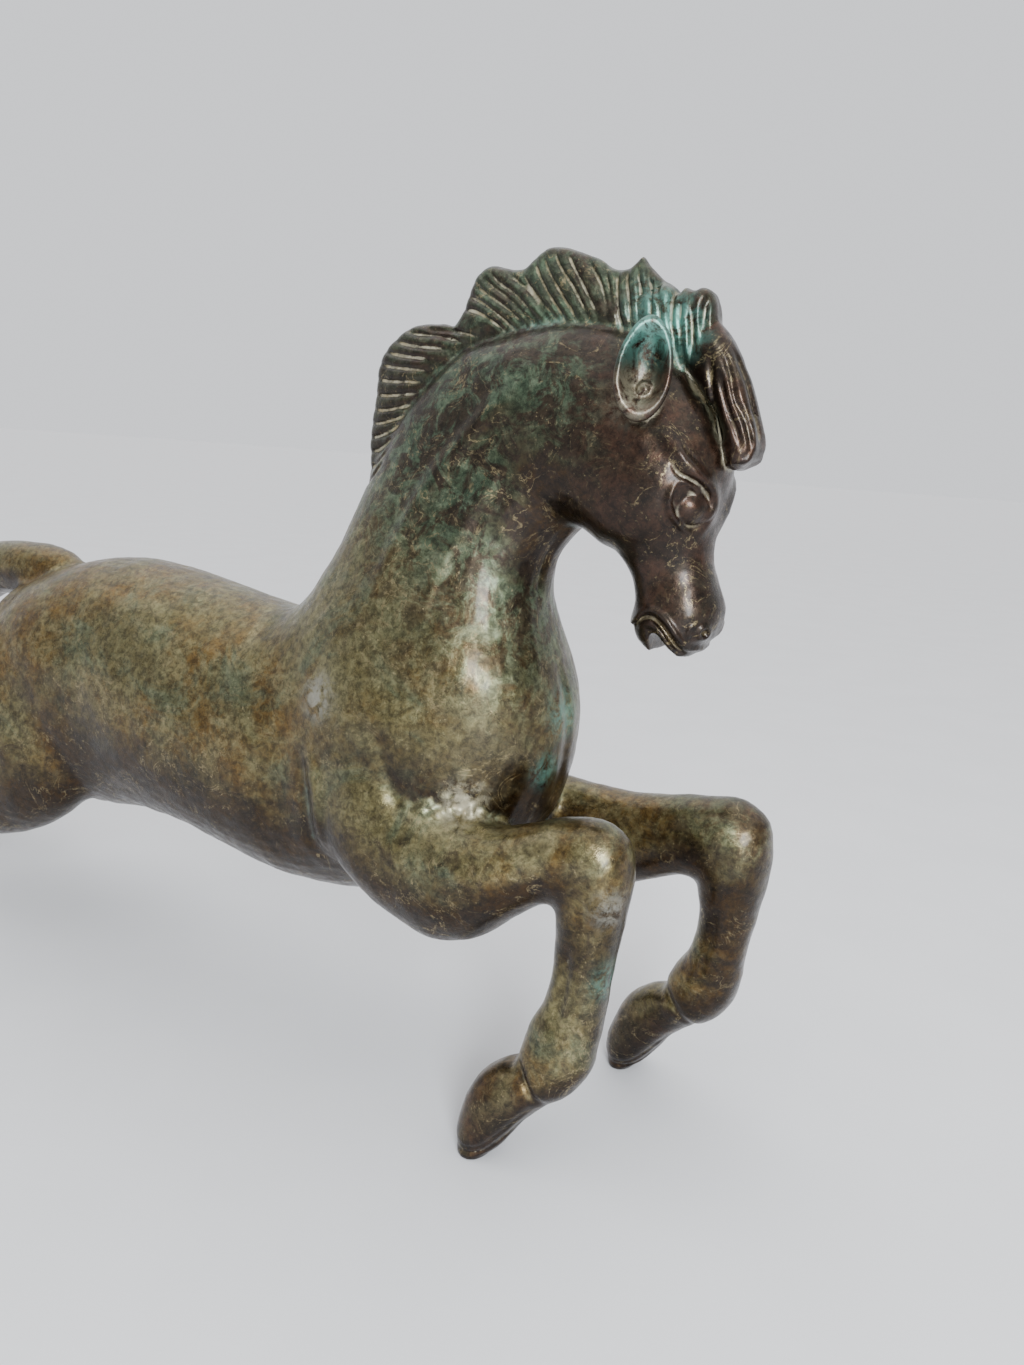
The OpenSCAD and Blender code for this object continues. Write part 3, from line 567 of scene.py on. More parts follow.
def sculpt_mane(clay):
    add_plate(clay, mane_back, "mane_back", 3.4, 13, 13, 2.0)
    add_plate(clay, mane_front, "mane_front", 3.4, 12, 13, 2.0)
    add_plate(clay, topknot, "topknot", 8, 15.5, 8, 2.0)
    for grooves, width, depth in ((BACK_GROOVES, 1.5, 0.9), (FRONT_GROOVES, 1.4, 0.9),
                                  (TOP_GROOVES, 1.8, 1.2)):
        for groove in grooves:
            path = [(x, -5.5, z) for x, z in groove]
            clay.both(clay.stroke, path, width, -depth, SIDE, reach=5)


def sculpt_forelock(clay):
    clay.add_skin(loft(forelock, fullness=2.6), "forelock", 0.8)
    lines = [
        [(187, -6.3, 232), (189.5, -6.5, 229), (191.7, -6.5, 223.9), (193.2, -6.7, 219),
         (196, -6, 214.2), (197.9, -4.7, 208.7), (198.3, -3.3, 205.5)],
        [(188.6, -6.6, 225), (190.3, -6.8, 220), (192.5, -6.9, 214.9), (195, -6.7, 210.3),
         (196.4, -6.1, 206.2)],
        [(185, -5.5, 229), (187, -6.6, 222), (189.6, -7, 215), (192, -7, 209.6), (193.6, -6.8, 206)],
        [(190, -4, 232), (194, -3.6, 225.2), (197, -3.3, 217.8), (199, -1.8, 211.8),
         (199.3, -1, 207)],
    ]
    for line in lines:
        clay.both(clay.stroke, line, 1.5, -0.9, CHEEK_FACING, reach=5)
    border = [(198.6, -5.5, 212), (198.8, -4.4, 206), (196.8, -4, 203.2), (194.2, -5, 203.4)]
    clay.both(clay.stroke, border, 1.8, 0.8, CHEEK_FACING, reach=5)


# ---------------------------------------------------------------- neck, body and legs


def sculpt_neck(clay):
    both = clay.both
    front_tendon = [(136.5, -15.8, 221), (127.3, -15.7, 213), (118.8, -16.8, 203),
                    (110.6, -18.6, 191.3), (102.5, -21.7, 174.9), (97, -27, 158)]
    rear_tendon = [(131, -17.4, 198), (128.7, -17.8, 192.9), (123.6, -19.5, 182.5),
                   (118, -22.4, 169.4), (114, -27.5, 154.7)]
    both(clay.stroke, front_tendon, 6.5, 1.3, SIDE, reach=12)
    both(clay.stroke, rear_tendon, 6, 1.0, SIDE, reach=12)
    throat = [(150, -14, 190), (146, -15, 181), (141, -16, 170), (138, -18, 158)]
    both(clay.stroke, throat, 7, -0.9, SIDE, reach=12)


def sculpt_body(clay):
    both = clay.both
    both(clay.swell, (101, -33, 122), (22, 12, 24), 1.8)  # shoulder
    both(clay.swell, (130, -22, 132), (17, 14, 20), 1.6)  # breast
    both(clay.swell, (70, -34, 100), (9, 12, 26), -1.8)  # behind the shoulder
    both(clay.swell, (20, -33, 100), (34, 12, 18), 0.7)  # ribs
    both(clay.swell, (-24, -33, 96), (14, 12, 24), -1.8)  # flank
    both(clay.swell, (-62, -33, 122), (22, 14, 20), 1.5)  # haunch
    crease = [(104, -35, 121), (108.5, -35, 118.5), (111.5, -35, 112), (113.6, -34.7, 106),
              (116.6, -35.7, 100.4), (122, -33, 101)]
    both(clay.stroke, crease, 5, -0.8, (0.2, -1, 0), reach=10)
    fold = [(82.5, -34, 109), (84.6, -34.5, 103), (86.4, -34.5, 97), (87.4, -34, 90), (88, -33, 82),
            (90, -32, 75)]
    both(clay.stroke, fold, 6, 1.6, SIDE, reach=12)
    behind_fold = [(78.5, -34, 110), (80.2, -34, 102), (81.4, -34, 94), (82, -32, 84), (82.6, -30, 76)]
    both(clay.stroke, behind_fold, 5, -0.8, SIDE, reach=12)
    breast_line = [(150, 0, 141), (149.5, 0, 126), (148.5, 0, 112), (145, 0, 99)]
    clay.stroke(breast_line, 4.5, -0.8, (1, 0, 0), reach=12)


def hoof_lines(clay, rim, cleft, y):
    """A double line above a hoof's rim, and the cleft over its heel, on both of its sides."""
    for side in (-1, 1):
        for way, depth in ((0, -0.7), (1.9, -0.4)):
            path = [(x - way * 0.6, y + side * HOOF, z + way * 0.8) for x, z in rim]
            clay.stroke(path, 1.1, depth, (0, side, 0), reach=HOOF * 0.9)
        path = [(x, y + side * HOOF, z) for x, z in cleft]
        clay.stroke(path, 2.6, -0.9, (0, side, 0), reach=HOOF * 0.9)


FORE_RIM = [(143.5, 3.4), (149, 2.8), (154, 4.2), (158.8, 9), (163.4, 14.8), (168, 20.4)]
FORE_CLEFT = [(157.5, 34.5), (162.5, 31), (167, 26), (171, 21.5)]
HIND_RIM = [(-199.4, 3), (-204, 3.2), (-208, 6), (-209.6, 12), (-206, 18)]
HIND_CLEFT = [(-190, 15), (-193, 20), (-196.4, 25)]


def sculpt_legs(clay):
    for side in (-1, 1):
        ahead = 0 if side < 0 else FURTHER
        name = "right" if side < 0 else "left"
        rows = leg_stations(fore, side, ahead, LIFT if ahead else 0)
        clay.add_skin(loft(rows, 44), name + "_foreleg", 4.5)
        clay.add_skin(loft(leg_stations(hind, side), 44), name + "_hindleg", 6)
        at = 0.76 * ahead
        hoof_lines(clay, [(x + at, z) for x, z in FORE_RIM],
                   [(x + 0.9 * ahead, z + (LIFT if ahead else 0)) for x, z in FORE_CLEFT],
                   side * FORE_TRACK * 0.95)
        hoof_lines(clay, HIND_RIM, HIND_CLEFT, side * HIND_TRACK)
        clay.swell((137 + 0.5 * ahead, side * 36, 86), (16, 8, 9), 1.0)  # forearm muscle
        clay.swell((174 + ahead, side * 27, 88), (5, 12, 10), -0.5)
        clay.swell((177 + ahead, side * 26, 100), (8, 12, 6), 0.6)  # knee cap
        shin = [(172 + ahead, side * 31, 72), (171.5 + 0.96 * ahead, side * 32, 58),
                (170 + 0.94 * ahead, side * 33, 45)]
        clay.stroke(shin, 3.4, -0.6, (0, side, 0), reach=7)
        clay.stroke(shin, 3.4, -0.6, (0, -side, 0), reach=16)
        clay.swell((-146, side * 31, 60), (9, 12, 8), 0.7)  # hock
        groove = [(-156, side * 30, 52), (-166, side * 30, 39), (-176, side * 30, 28)]
        clay.stroke(groove, 3.4, -0.6, (0, side, 0), reach=7)
        clay.stroke(groove, 3.4, -0.6, (0, -side, 0), reach=16)


def weather(clay):
    """The unevenness of hand-worked wax and of a rough casting."""
    where, (x, y, z), _ = clay.window(clay.first * clay.voxel, clay.last * clay.voxel)
    for cell, height, seed in ((16, 0.42, 3), (7, 0.2, 5), (2.6, 0.09, 7)):
        clay.depth += height * lattice(x, y, z, cell, seed)
    rough = np.exp(-(((x - 130) / 14) ** 2 + ((z - 102) / 7) ** 2 + ((np.abs(y) - 28) / 9) ** 2))
    clay.depth += 0.9 * rough * lattice(x, y, z, 2.2, 11)
    clay.depth[:] = np.maximum(clay.depth, -z)


def sculpt(clay):
    clay.add_skin(loft(trunk), "trunk", 1)
    sculpt_legs(clay)
    clay.add_skin(loft(tail, 40), "tail", 5)
    sculpt_body(clay)
    sculpt_neck(clay)
    sculpt_mane(clay)
    sculpt_forelock(clay)
    sculpt_face(clay)
    sculpt_mouth(clay)
    add_ear(clay, -1)
    add_ear(clay, 1)
    weather(clay)


# ---------------------------------------------------------------- from clay to pieces


def seam_plane(name):
    """A trunk seam as a point and the direction in which the trunk runs, towards the head."""
    ax, az, bx, bz = trunk[SEAMS[name]][:4]
    along = np.array((az - bz, 0, bx - ax))
    return np.array((ax + MIDDLE, 0, az)), along / np.linalg.norm(along)


def averaged(field, voxels):
    """The field averaged over a cube that reaches `voxels` each way."""
    wide = 2 * voxels + 1
    for axis in range(3):
        pad = [(0, 0)] * 3
        pad[axis] = (voxels + 1, voxels)
        total = np.cumsum(np.pad(field, pad, mode="edge"), axis=axis, dtype=np.float64)
        first = [slice(None)] * 3
        last = [slice(None)] * 3
        first[axis] = slice(0, -wide)
        last[axis] = slice(wide, None)
        field = ((total[tuple(last)] - total[tuple(first)]) / wide).astype(np.float32)
    return field


def read_field(clay, field, points):
    """The field's values at points, from the eight voxels around each."""
    at = points / clay.voxel - clay.first
    i = np.clip(np.floor(at).astype(int), 0, np.array(field.shape) - 2)
    f = at - i
    value = 0
    for corner in np.ndindex(2, 2, 2):
        share = np.prod(np.where(corner, f, 1 - f), axis=1)
        value = value + share * field[tuple((i + corner).T)]
    return value


def surface(clay):
    """The clay's skin as points and quads, with the name of each quad's casting."""
    grid = openvdb.FloatGrid(BAND)
    grid.copyFromArray(np.clip(clay.depth, -2 * clay.voxel, 2 * clay.voxel),
                       ijk=tuple(int(v) for v in clay.first))
    grid.transform = openvdb.createLinearTransform(clay.voxel)
    points, quads = grid.convertToQuads(isovalue=0)
    corners = points[quads]
    normal = np.cross(corners[:, 2] - corners[:, 0], corners[:, 3] - corners[:, 1])
    if (normal * corners[:, 0]).sum() < 0:
        quads = quads[:, ::-1]
    middle = np.rint(corners.mean(1) / clay.voxel).astype(int) - clay.first
    middle = np.clip(middle, 0, np.array(clay.owner.shape) - 1)
    return points, quads, clay.owner[tuple(middle.T)]


def mesh_from(name, points, faces):
    mesh = bpy.data.meshes.new(name)
    mesh.vertices.add(len(points))
    mesh.vertices.foreach_set("co", np.asarray(points, np.float32).ravel())
    size = faces.shape[1]
    mesh.loops.add(faces.size)
    mesh.loops.foreach_set("vertex_index", faces.astype(np.int32).ravel())
    mesh.polygons.add(len(faces))
    mesh.polygons.foreach_set("loop_start", np.arange(0, faces.size, size, dtype=np.int32))
    mesh.update(calc_edges=True)
    return mesh


def close_openings(bm):
    """Closes each opening with faces that meet at its middle, behind a sharp edge."""
    left = {e for e in bm.edges if e.is_boundary}
    while left:
        chain, rim = [left.pop()], []
        while chain:
            edge = chain.pop()
            rim.append(edge)
            for vert in edge.verts:
                for other in vert.link_edges:
                    if other in left:
                        left.discard(other)
                        chain.append(other)
        verts = {v for e in rim for v in e.verts}
        centre = bm.verts.new(sum((v.co for v in verts), Vector()) / len(verts))
        for edge in rim:
            loop = edge.link_loops[0]
            a, b = loop.vert, loop.link_loop_next.vert
            face = bm.faces.new((b, a, centre))
            face.smooth = False
            edge.smooth = False


def in_largest_sheet(quads, count):
    """Which quads belong to the largest connected sheet, so that no crumbs are kept."""
    sheet = np.arange(count)
    a, b = np.vstack([quads[:, [0, 1]], quads[:, [1, 2]], quads[:, [2, 3]]]).T
    while True:
        least = np.minimum(sheet[a], sheet[b])
        joined = sheet.copy()
        np.minimum.at(joined, a, least)
        np.minimum.at(joined, b, least)
        joined = joined[joined]
        if (joined == sheet).all():
            break
        sheet = joined
    sheet = sheet[quads[:, 0]]
    return sheet == np.bincount(sheet).argmax()


def make_piece(name, clay, fields, points, quads, keep, planes):
    """One closed piece of the skin: the quads in keep, trimmed by planes (point, normal)."""
    for at, normal in planes:
        ahead = (points - at) @ normal
        keep = keep & (ahead[quads].max(1) > 0)
    kept = quads[keep]
    used, index = np.unique(kept[in_largest_sheet(kept, len(points))], return_inverse=True)
    mesh = mesh_from(name, points[used], index.reshape(-1, 4))
    bm = bmesh.new()
    bm.from_mesh(mesh)
    for face in bm.faces:
        face.smooth = True
    for at, normal in planes:
        bmesh.ops.bisect_plane(
            bm, geom=bm.verts[:] + bm.edges[:] + bm.faces[:], dist=1e-4,
            plane_co=Vector(at), plane_no=Vector(normal), clear_inner=True,
        )
    close_openings(bm)
    bm.to_mesh(mesh)
    bm.free()
    co = np.empty(len(mesh.vertices) * 3, np.float32)
    mesh.vertices.foreach_get("co", co)
    co = co.reshape(-1, 3)
    for label, field in fields.items():
        attribute = mesh.attributes.new(label, "FLOAT", "POINT")
        attribute.data.foreach_set("value", read_field(clay, field, co).astype(np.float32))
    mesh.transform(Matrix.Scale(MM, 4))
    piece = bpy.data.objects.new("bronze_" + name, mesh)
    bpy.context.scene.collection.objects.link(piece)
    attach(piece, "root")
    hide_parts(name)
    return piece


def drawn_in(source):
    """A copy in which each separate solid is a little shorter and nearer the middle plane."""
    bm = bmesh.new()
    bm.from_mesh(source)
    bmesh.ops.remove_doubles(bm, verts=bm.verts[:], dist=1e-6)
    left = set(bm.verts)
    while left:
        chain, solid = [left.pop()], []
        while chain:
            vert = chain.pop()
            solid.append(vert)
            for edge in vert.link_edges:
                other = edge.other_vert(vert)
                if other in left:
                    left.discard(other)
                    chain.append(other)
        middle = sum((v.co for v in solid), Vector()) / len(solid)
        for vert in solid:
            vert.co = middle + (vert.co - middle) * SHORTER
            vert.co.y *= NARROWER
    mesh = bpy.data.meshes.new(source.name + "_short")
    bm.to_mesh(mesh)
    bm.free()
    return mesh


def table_top(height, up):
    return np.array((0, 0, height)), np.array((0, 0, 1 if up else -1))


def forward(name):
    return seam_plane(name)


def backward(name):
    at, along = seam_plane(name)
    return at, -along


SOLE = 1.5
COARSE = 1
BLOCKS = [
    # lowest corner, highest corner, voxel, and each piece: its clay's name and its planes
    ((58, -38, 117), (207, 38, 262), 0.5, {
        "neck_casting": ("trunk", forward("neck"), backward("head")),
        "head_casting": ("trunk head_casting", forward("head")),
        "mane_back": ("mane_back",),
        "mane_front": ("mane_front",),
        "topknot": ("topknot",),
        "forelock": ("forelock",),
        "right_ear": ("right_ear",),
        "left_ear": ("left_ear",),
    }),
    ((40, -44, -3), (216, 44, 186), 0.65, {
        "forequarter_casting": ("trunk", forward("shoulder"), backward("neck")),
        "right_foreleg": ("right_foreleg", table_top(SOLE, True)),
        "left_foreleg": ("left_foreleg", table_top(SOLE, True)),
        "right_fore_sole": ("right_foreleg", table_top(SOLE, False)),
        "left_fore_sole": ("left_foreleg", table_top(SOLE, False)),
    }),
    ((-216, -44, -3), (64, 44, 162), 0.85, {
        "barrel_casting": ("trunk", forward("loin"), backward("shoulder")),
        "hindquarter_casting": ("trunk", backward("loin")),
        "right_hindleg": ("right_hindleg", table_top(SOLE, True)),
        "left_hindleg": ("left_hindleg", table_top(SOLE, True)),
        "right_hind_sole": ("right_hindleg", table_top(SOLE, False)),
        "left_hind_sole": ("left_hindleg", table_top(SOLE, False)),
        "tail": ("tail",),
    }),
]
HOLLOW = {"hollow_fine": 1.3, "hollow_wide": 4.0}  # how far each looks around, in millimetres


def cast_pieces():
    pieces = {}
    for low, high, voxel, parts in BLOCKS:
        clay = Clay(low, high, voxel * COARSE)
        sculpt(clay)
        fields = {}
        for label, far in HOLLOW.items():
            near = np.clip(clay.depth, -2 * far, 2 * far)
            fields[label] = -averaged(near, max(1, round(far / clay.voxel))) / far
        points, quads, owner = surface(clay)
        for name, (names, *planes) in parts.items():
            ids = [clay.names.index(n) for n in names.split() if n in clay.names]
            keep = np.isin(owner, ids)
            pieces[name] = make_piece(name, clay, fields, points, quads, keep, planes)
    return pieces


# ---------------------------------------------------------------- patina


class Shader:
    """A material's nodes, wired by short calls."""

    def __init__(self, name):
        self.material = bpy.data.materials.new(name)
        self.material.use_nodes = True
        self.nodes = self.material.node_tree.nodes
        self.links = self.material.node_tree.links
        self.nodes.clear()
        self.place = self.nodes.new("ShaderNodeTexCoord").outputs["Object"]

    def put(self, socket, value):
        if isinstance(value, bpy.types.NodeSocket):
            self.links.new(value, socket)
        elif isinstance(value, (tuple, list)) and len(value) == 3 and socket.type == "RGBA":
            socket.default_value = (*value, 1)
        else:
            socket.default_value = value

    def noise(self, size, detail=4.0, rough=0.55, warp=0.0, offset=(0, 0, 0), stretch=(1, 1, 1)):
        """Noise whose largest patches are about `size` millimetres."""
        move = self.nodes.new("ShaderNodeMapping")
        self.put(move.inputs["Vector"], self.place)
        self.put(move.inputs["Location"], offset)
        self.put(move.inputs["Scale"], stretch)
        node = self.nodes.new("ShaderNodeTexNoise")
        self.put(node.inputs["Vector"], move.outputs[0])
        for socket, value in (("Scale", 1 / (size * MM)), ("Detail", detail),
                              ("Roughness", rough), ("Distortion", warp)):
            self.put(node.inputs[socket], value)
        return node.outputs["Fac"]

    def attribute(self, name):
        node = self.nodes.new("ShaderNodeAttribute")
        node.attribute_name = name
        return node.outputs["Fac"]

    def math(self, operation, *values):
        node = self.nodes.new("ShaderNodeMath")
        node.operation = operation
        for socket, value in zip(node.inputs, values):
            self.put(socket, value)
        return node.outputs[0]

    def times(self, a, b):
        return self.math("MULTIPLY", a, b)

    def scaled(self, colour, by):
        node = self.nodes.new("ShaderNodeVectorMath")
        node.operation = "SCALE"
        self.put(node.inputs[0], colour)
        self.put(node.inputs["Scale"], by)
        return node.outputs[0]

    def step(self, value, low, high, out_low=0.0, out_high=1.0):
        """A smooth step from out_low at low to out_high at high."""
        node = self.nodes.new("ShaderNodeMapRange")
        node.interpolation_type = "SMOOTHSTEP"
        for socket, v in zip(node.inputs, (value, low, high, out_low, out_high)):
            self.put(socket, v)
        return node.outputs[0]

    def mix(self, share, a, b):
        node = self.nodes.new("ShaderNodeMix")
        node.data_type = "RGBA"
        self.put(node.inputs[0], share)
        self.put(node.inputs[6], a)
        self.put(node.inputs[7], b)
        return node.outputs[2]

    def along(self, direction):
        """How far the place lies along a direction, in metres."""
        node = self.nodes.new("ShaderNodeVectorMath")
        node.operation = "DOT_PRODUCT"
        self.put(node.inputs[0], self.place)
        self.put(node.inputs[1], direction)
        return node.outputs["Value"]

    def facing(self, direction):
        node = self.nodes.new("ShaderNodeVectorMath")
        node.operation = "DOT_PRODUCT"
        self.put(node.inputs[0], self.nodes.new("ShaderNodeNewGeometry").outputs["Normal"])
        self.put(node.inputs[1], direction)
        return node.outputs["Value"]

    def near(self, place, size):
        """1 at a place, given in millimetres, falling to 0 about `size` millimetres away."""
        node = self.nodes.new("ShaderNodeVectorMath")
        node.operation = "DISTANCE"
        self.put(node.inputs[0], self.place)
        self.put(node.inputs[1], tuple(v * MM for v in place))
        return self.step(node.outputs["Value"], 0.0, size * MM, 1.0, 0.0)

    def finish(self, colour, metallic, roughness, height, strength, coat=0.0):
        shader = self.nodes.new("ShaderNodeBsdfPrincipled")
        self.put(shader.inputs["Base Color"], colour)
        self.put(shader.inputs["Metallic"], metallic)
        self.put(shader.inputs["Roughness"], roughness)
        self.put(shader.inputs["Coat Weight"], coat)
        self.put(shader.inputs["Coat Roughness"], 0.22)
        bump = self.nodes.new("ShaderNodeBump")
        self.put(bump.inputs["Strength"], strength)
        self.put(bump.inputs["Distance"], 0.001)
        self.put(bump.inputs["Height"], height)
        self.put(shader.inputs["Normal"], bump.outputs[0])
        out = self.nodes.new("ShaderNodeOutputMaterial")
        self.put(out.inputs["Surface"], shader.outputs[0])
        return self.material


OLIVE, OCHRE, BROWN = (0.105, 0.088, 0.036), (0.120, 0.070, 0.018), (0.026, 0.015, 0.009)
PALE_OLIVE, GREEN, PALE_GREEN = (0.190, 0.176, 0.088), (0.052, 0.078, 0.046), (0.098, 0.128, 0.080)
# The middle colour of the next line is painted shade for the undersides, orange-brown as a painted
# reflection of a wooden table.
UMBER, PAINTED_UNDERSIDE_SHADE, BLACK = (0.050, 0.024, 0.014), (0.040, 0.017, 0.002), (0.012, 0.008, 0.005)
TURQUOISE, CREAM, TAN = (0.150, 0.400, 0.330), (0.420, 0.385, 0.270), (0.260, 0.205, 0.105)
GREY = (0.330, 0.320, 0.270)
PATCHES = [  # colour, place and size in millimetres, and strength of single stains
    (TURQUOISE, (168, -12, 243), 14, 0.8), (TURQUOISE, (176, -10, 236), 13, 0.8),
    (TURQUOISE, (174, -22, 232), 12, 0.75), (CREAM, (170, -20, 218), 10, 0.7),
    (GREY, (84.5, -34, 127), 11, 0.9), (CREAM, (134, -28, 103), 11, 0.8),
    (TURQUOISE, (150, -2, 128), 12, 0.5), (TURQUOISE, (149, -9, 112), 9, 0.5),
    (TURQUOISE, (183, -26, 62), 9, 0.4), (TURQUOISE, (172, -22, 28), 9, 0.4),
    (GREY, (182, -28, 84), 9, 0.6),
]


def patina(name, mane=0.0, hoof=0.0):
    """Waxed verdigris over bronze. It is green and brown on the neck, olive and ochre on the
    body and dark brown on the head, with turquoise and cream where the surface is hollow."""
    s = Shader(name)
    broad = s.noise(46, 5, 0.6, 0.6)
    patch = s.noise(21, 6, 0.62, 0.9, (3, 1, 2))
    blotch = s.noise(9, 9, 0.72, 0.8, (7, 4, 1))
    film = s.noise(5, 9, 0.78, 0.5, (4, 6, 8))
    grain = s.noise(2.2, 6, 0.75, 0.4, (1, 8, 3))
    speck = s.noise(0.9, 3, 0.7, 0.2, (5, 5, 9))
    vein = s.noise(17, 5, 0.6, 1.6, (9, 2, 6))
    fine = s.attribute("hollow_fine")
    wide = s.attribute("hollow_wide")
    rise = s.along((0, 0, 1))
    # below is 1 where the surface faces down; it carries painted shade on the undersides, darker and
    # orange-brown as a painted reflection of a wooden table
    below = s.step(s.facing((0, 0, 1)), 0.25, -0.28)
    upward = s.step(s.facing((0, 0, 1)), 0.2, 0.9)
    neck = s.step(s.along((0.557, 0, 0.83)), 0.165, 0.225)
    face = s.times(s.step(s.along((1, 0, 0.05)), 0.158, 0.178),
                  s.step(rise, 0.138, 0.150))
    if mane:
        face = s.times(face, 0.5)

    worn = s.step(rise, 0.105, 0.085)  # the legs are more mottled than the barrel
    olive = s.mix(s.step(broad, 0.4, 0.6), OLIVE, OCHRE)
    olive = s.mix(s.step(patch, 0.46, 0.62, 0.0, 0.5), olive, PALE_OLIVE)
    olive = s.mix(s.step(film, 0.44, 0.62, 0.0, 0.4), olive, PALE_OLIVE)
    olive = s.mix(s.times(s.step(blotch, 0.46, 0.62), s.step(worn, 0.0, 1.0, 0.3, 0.7)),
                  olive, BROWN)
    olive = s.mix(s.step(s.noise(30, 6, 0.7, 0.8, (2, 9, 4)), 0.50, 0.64, 0.0, 0.55), olive,
                  s.mix(s.step(film, 0.4, 0.6), GREEN, PALE_GREEN))
    green = s.mix(s.step(film, 0.46, 0.62), GREEN, PALE_GREEN)
    green = s.mix(s.step(blotch, 0.44, 0.56, 0.0, 0.92), green, BROWN)
    dark = s.mix(s.step(patch, 0.4, 0.62), UMBER, BROWN)
    dark = s.mix(s.step(film, 0.42, 0.62, 0.0, 0.6), dark, BLACK)
    colour = s.mix(neck, olive, green)
    colour = s.mix(s.times(s.times(upward, neck), 0.6), colour, dark)
    # painted shade on the undersides, in orange-brown as a painted reflection of a wooden table
    colour = s.mix(s.times(below, 0.97), colour, s.mix(s.step(blotch, 0.4, 0.6), PAINTED_UNDERSIDE_SHADE, BROWN))
    # painted shade: darker towards the table, as a painted contact shadow around the hooves
    colour = s.mix(s.step(rise, 0.036, 0.016, 0.0, 0.75), colour, dark)
    colour = s.mix(s.times(face, 0.93), colour, dark)
    if mane:
        colour = s.mix(0.5, colour, s.mix(s.step(patch, 0.4, 0.6), BROWN, GREEN))
        colour = s.mix(s.step(s.along((1, 0, 0)), 0.108, 0.085, 0.0, 0.6), colour, BROWN)
    if hoof:
        colour = s.mix(0.6, colour, BROWN)

    # shade is random grain tone, times painted shade that darkens the undersides
    shade = s.times(s.step(grain, 0.34, 0.66, 0.5, 1.5),
                   s.step(below, 0.0, 1.0, 1.0, 0.6))
    colour = s.scaled(colour, shade)

    specks = s.times(s.step(speck, 0.60, 0.70), s.step(film, 0.46, 0.60))
    specks = s.times(specks, s.step(s.math("MAXIMUM", face, below), 0.0, 1.0, 0.8, 0.45))
    colour = s.mix(specks, colour, TAN)
    veins = s.step(s.math("ABSOLUTE", s.math("SUBTRACT", vein, 0.5)), 0.0, 0.013, 1.0, 0.0)
    veins = s.times(veins, s.step(grain, 0.4, 0.6, 0.1, 0.8))
    colour = s.mix(s.times(veins, s.step(patch, 0.42, 0.58)), colour, TAN)

    broken = s.step(grain, 0.38, 0.60, 0.15, 1.0)
    crust = s.math("ADD", wide, s.times(s.math("SUBTRACT", patch, 0.5), 0.5))
    verdigris = s.times(s.step(crust, 0.10, 0.34), broken)
    verdigris = s.times(verdigris, s.step(face, 0.0, 1.0, 1.0, 0.35))
    colour = s.mix(s.times(verdigris, 0.7 if mane else 0.45), colour,
                   s.mix(s.step(film, 0.4, 0.62), TURQUOISE, PALE_GREEN))
    for stain, place, size, most in PATCHES:
        share = s.times(s.near(place, size), s.step(film, 0.40, 0.58, 0.0, most))
        colour = s.mix(share, colour, stain)
    line = s.math("ADD", fine, s.times(s.math("SUBTRACT", grain, 0.5), 0.35))
    lines = s.times(s.step(line, 0.14, 0.34), s.step(film, 0.36, 0.56, 0.25, 0.8))
    lines = s.times(lines, s.step(face, 0.0, 1.0, 1.0, 0.55))
    colour = s.mix(lines, colour, s.mix(s.step(patch, 0.4, 0.6), CREAM, TAN))

    rough = s.step(film, 0.36, 0.64, 0.26, 0.46)
    rough = s.math("ADD", rough, s.times(verdigris, 0.3))
    rough = s.math("ADD", rough, s.times(specks, 0.2))
    metal = s.math("SUBTRACT", 0.8, s.times(s.math("MAXIMUM", verdigris, lines), 0.7))
    height = s.math("ADD", s.times(grain, 0.22), s.times(speck, 0.1))
    height = s.math("ADD", height, s.times(blotch, 0.25))
    height = s.math("ADD", height, s.times(specks, 0.08))
    return s.finish(colour, metal, rough, height, 0.5, coat=0.22)


def bare_bronze(name):
    """Turned and cast bronze inside the joints, with scratches and a little tarnish."""
    s = Shader(name)
    stain = s.noise(9, 5, 0.6, 0.5)
    scratch = s.noise(1.2, 4, 0.6, 0.0, stretch=(1, 9, 1))
    colour = s.mix(s.step(stain, 0.4, 0.65), (0.42, 0.26, 0.10), (0.17, 0.10, 0.045))
    return s.finish(colour, 0.95, s.step(scratch, 0.3, 0.7, 0.3, 0.5), scratch, 0.2)


SLOTS = {
    "dark_bronze": ("head_casting", "right_ear", "left_ear", "forelock"),
    "mane_bronze": ("mane_back", "mane_front", "topknot"),
    "hoof_bronze": ("right_fore_sole", "left_fore_sole", "right_hind_sole", "left_hind_sole"),
    "plug_bronze": ("core_pins",),
    "joining_bronze": ("head_sleeve", "neck_sleeve", "shoulder_sleeve", "loin_sleeve",
                       "sleeve_pins", "leg_keys", "mane_dowels", "ear_rivets"),
}
INNER = SLOTS["joining_bronze"] + SLOTS["plug_bronze"]
SHORTER, NARROWER = 0.97, 0.94  # how the inner parts are drawn in, so that no end shows


def slot_of(name):
    return next((s for s, names in SLOTS.items() if name in names), "body_bronze")


# ---------------------------------------------------------------- the studio


def paint(name, colour, rough):
    s = Shader(name)
    mottle = s.noise(60, 3)
    shade = s.mix(s.step(mottle, 0.3, 0.7), colour, tuple(c * 0.97 for c in colour))
    return s.finish(shade, 0.0, rough, s.noise(3, 3), 0.05)


def lamp(name, at, target, size, power, colour=(1, 1, 1)):
    light = bpy.data.lights.new(name, "AREA")
    light.shape = "RECTANGLE"
    light.size, light.size_y = size
    light.energy = power
    light.color = colour
    holder = bpy.data.objects.new(name, light)
    bpy.context.scene.collection.objects.link(holder)
    holder.location = at
    holder.rotation_euler = (Vector(target) - Vector(at)).to_track_quat("-Z", "Y").to_euler()


FLOOR = 40  # half the floor's width, in metres, so that its edges aren't seen


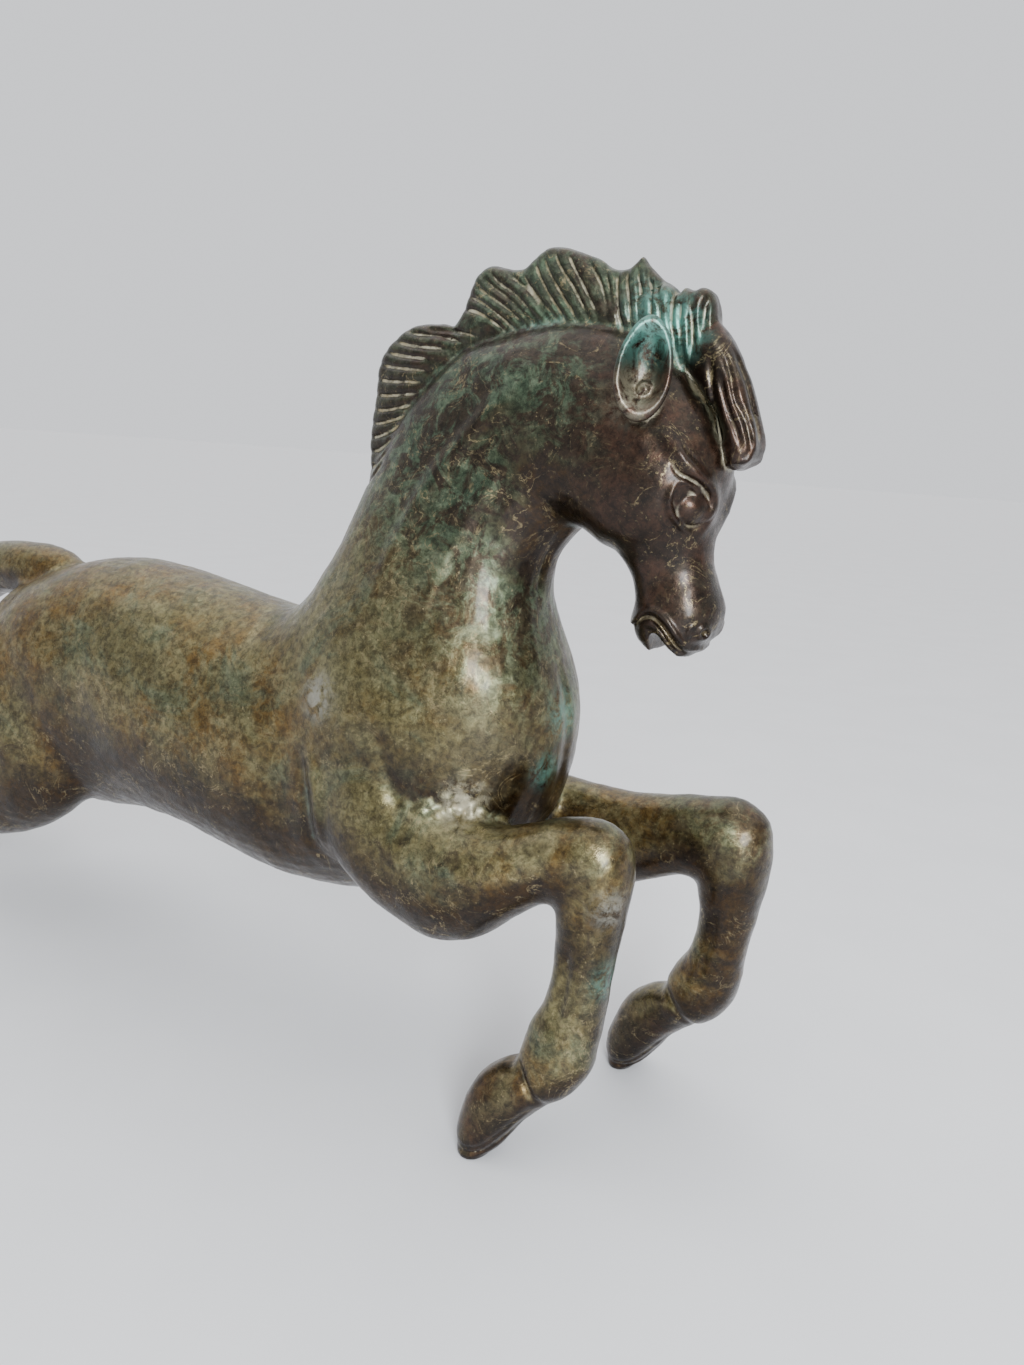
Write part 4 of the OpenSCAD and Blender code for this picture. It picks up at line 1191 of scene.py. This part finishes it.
def studio():
    corners = [(x * FLOOR, y * FLOOR, 0) for x, y in ((-1, -1), (1, -1), (1, 1), (-1, 1))]
    floor_mesh = mesh_from("floor", corners, np.array([[0, 1, 2, 3]]))
    floor = bpy.data.objects.new("floor", floor_mesh)
    floor_mesh.materials.append(paint("pale_floor", (0.74, 0.74, 0.75), 0.6))
    bpy.context.scene.collection.objects.link(floor)
    world = bpy.data.worlds.new("studio")
    world.use_nodes = True
    nodes, links = world.node_tree.nodes, world.node_tree.links
    way = nodes.new("ShaderNodeTexCoord")
    behind = nodes.new("ShaderNodeVectorMath")
    behind.operation = "DOT_PRODUCT"
    behind.inputs[1].default_value = (-0.46, 0.86, 0.2)
    links.new(way.outputs["Generated"], behind.inputs[0])
    fade = nodes.new("ShaderNodeMapRange")
    fade.interpolation_type = "SMOOTHSTEP"
    for socket, value in zip(fade.inputs[1:5], (-0.6, 0.8, 0.55, 1.1)):
        socket.default_value = value
    links.new(behind.outputs["Value"], fade.inputs[0])
    links.new(fade.outputs[0], nodes["Background"].inputs["Strength"])
    nodes["Background"].inputs["Color"].default_value = (0.94, 0.96, 1.0, 1)
    bpy.context.scene.world = world
    middle = (0.1, 0, 0.12)
    lamp("window", (0.78, -0.86, 0.5), middle, (0.34, 0.42), 20, (0.90, 0.95, 1))
    sun = bpy.data.lights.new("ceiling", "SUN")
    sun.energy, sun.angle = 2.1, math.radians(100)
    bpy.context.scene.collection.objects.link(bpy.data.objects.new("ceiling", sun))


def camera():
    """The photograph's viewpoint: from in front and to the right, 20 cm above the table."""
    turn, tilt, roll = math.radians(28), math.radians(12.7), math.radians(4.1)
    look = Vector((-math.sin(turn) * math.cos(tilt), math.cos(turn) * math.cos(tilt),
                   -math.sin(tilt)))
    level = Vector((math.cos(turn), math.sin(turn), 0))
    rise = level.cross(look)
    right = level * math.cos(roll) + rise * math.sin(roll)
    up = rise * math.cos(roll) - level * math.sin(roll)
    view = bpy.data.cameras.new("view")
    view.lens, view.sensor_width = 26, 36
    holder = bpy.data.objects.new("view", view)
    bpy.context.scene.collection.objects.link(holder)
    holder.matrix_world = Matrix((
        (right.x, up.x, -look.x, 0.27005),
        (right.y, up.y, -look.y, -0.2598),
        (right.z, up.z, -look.z, 0.2),
        (0, 0, 0, 1),
    ))
    bpy.context.scene.camera = holder


# ---------------------------------------------------------------- putting it together

pieces = cast_pieces()
materials = {
    "body_bronze": patina("body_patina"),
    "dark_bronze": patina("head_patina"),
    "mane_bronze": patina("mane_patina", mane=1.0),
    "hoof_bronze": patina("hoof_patina", hoof=1.0),
    "plug_bronze": patina("plug_patina"),
    "joining_bronze": bare_bronze("joint_bronze"),
}
for name, piece in pieces.items():
    piece.data.materials.append(materials[slot_of(name)])

for name in INNER:
    mesh = drawn_in(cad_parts[name].data)
    mesh.materials.clear()
    mesh.materials.append(materials[slot_of(name)])
    inner = bpy.data.objects.new("inner_" + name, mesh)
    bpy.context.scene.collection.objects.link(inner)
    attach(inner, "root")
    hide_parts(name)

studio()
camera()
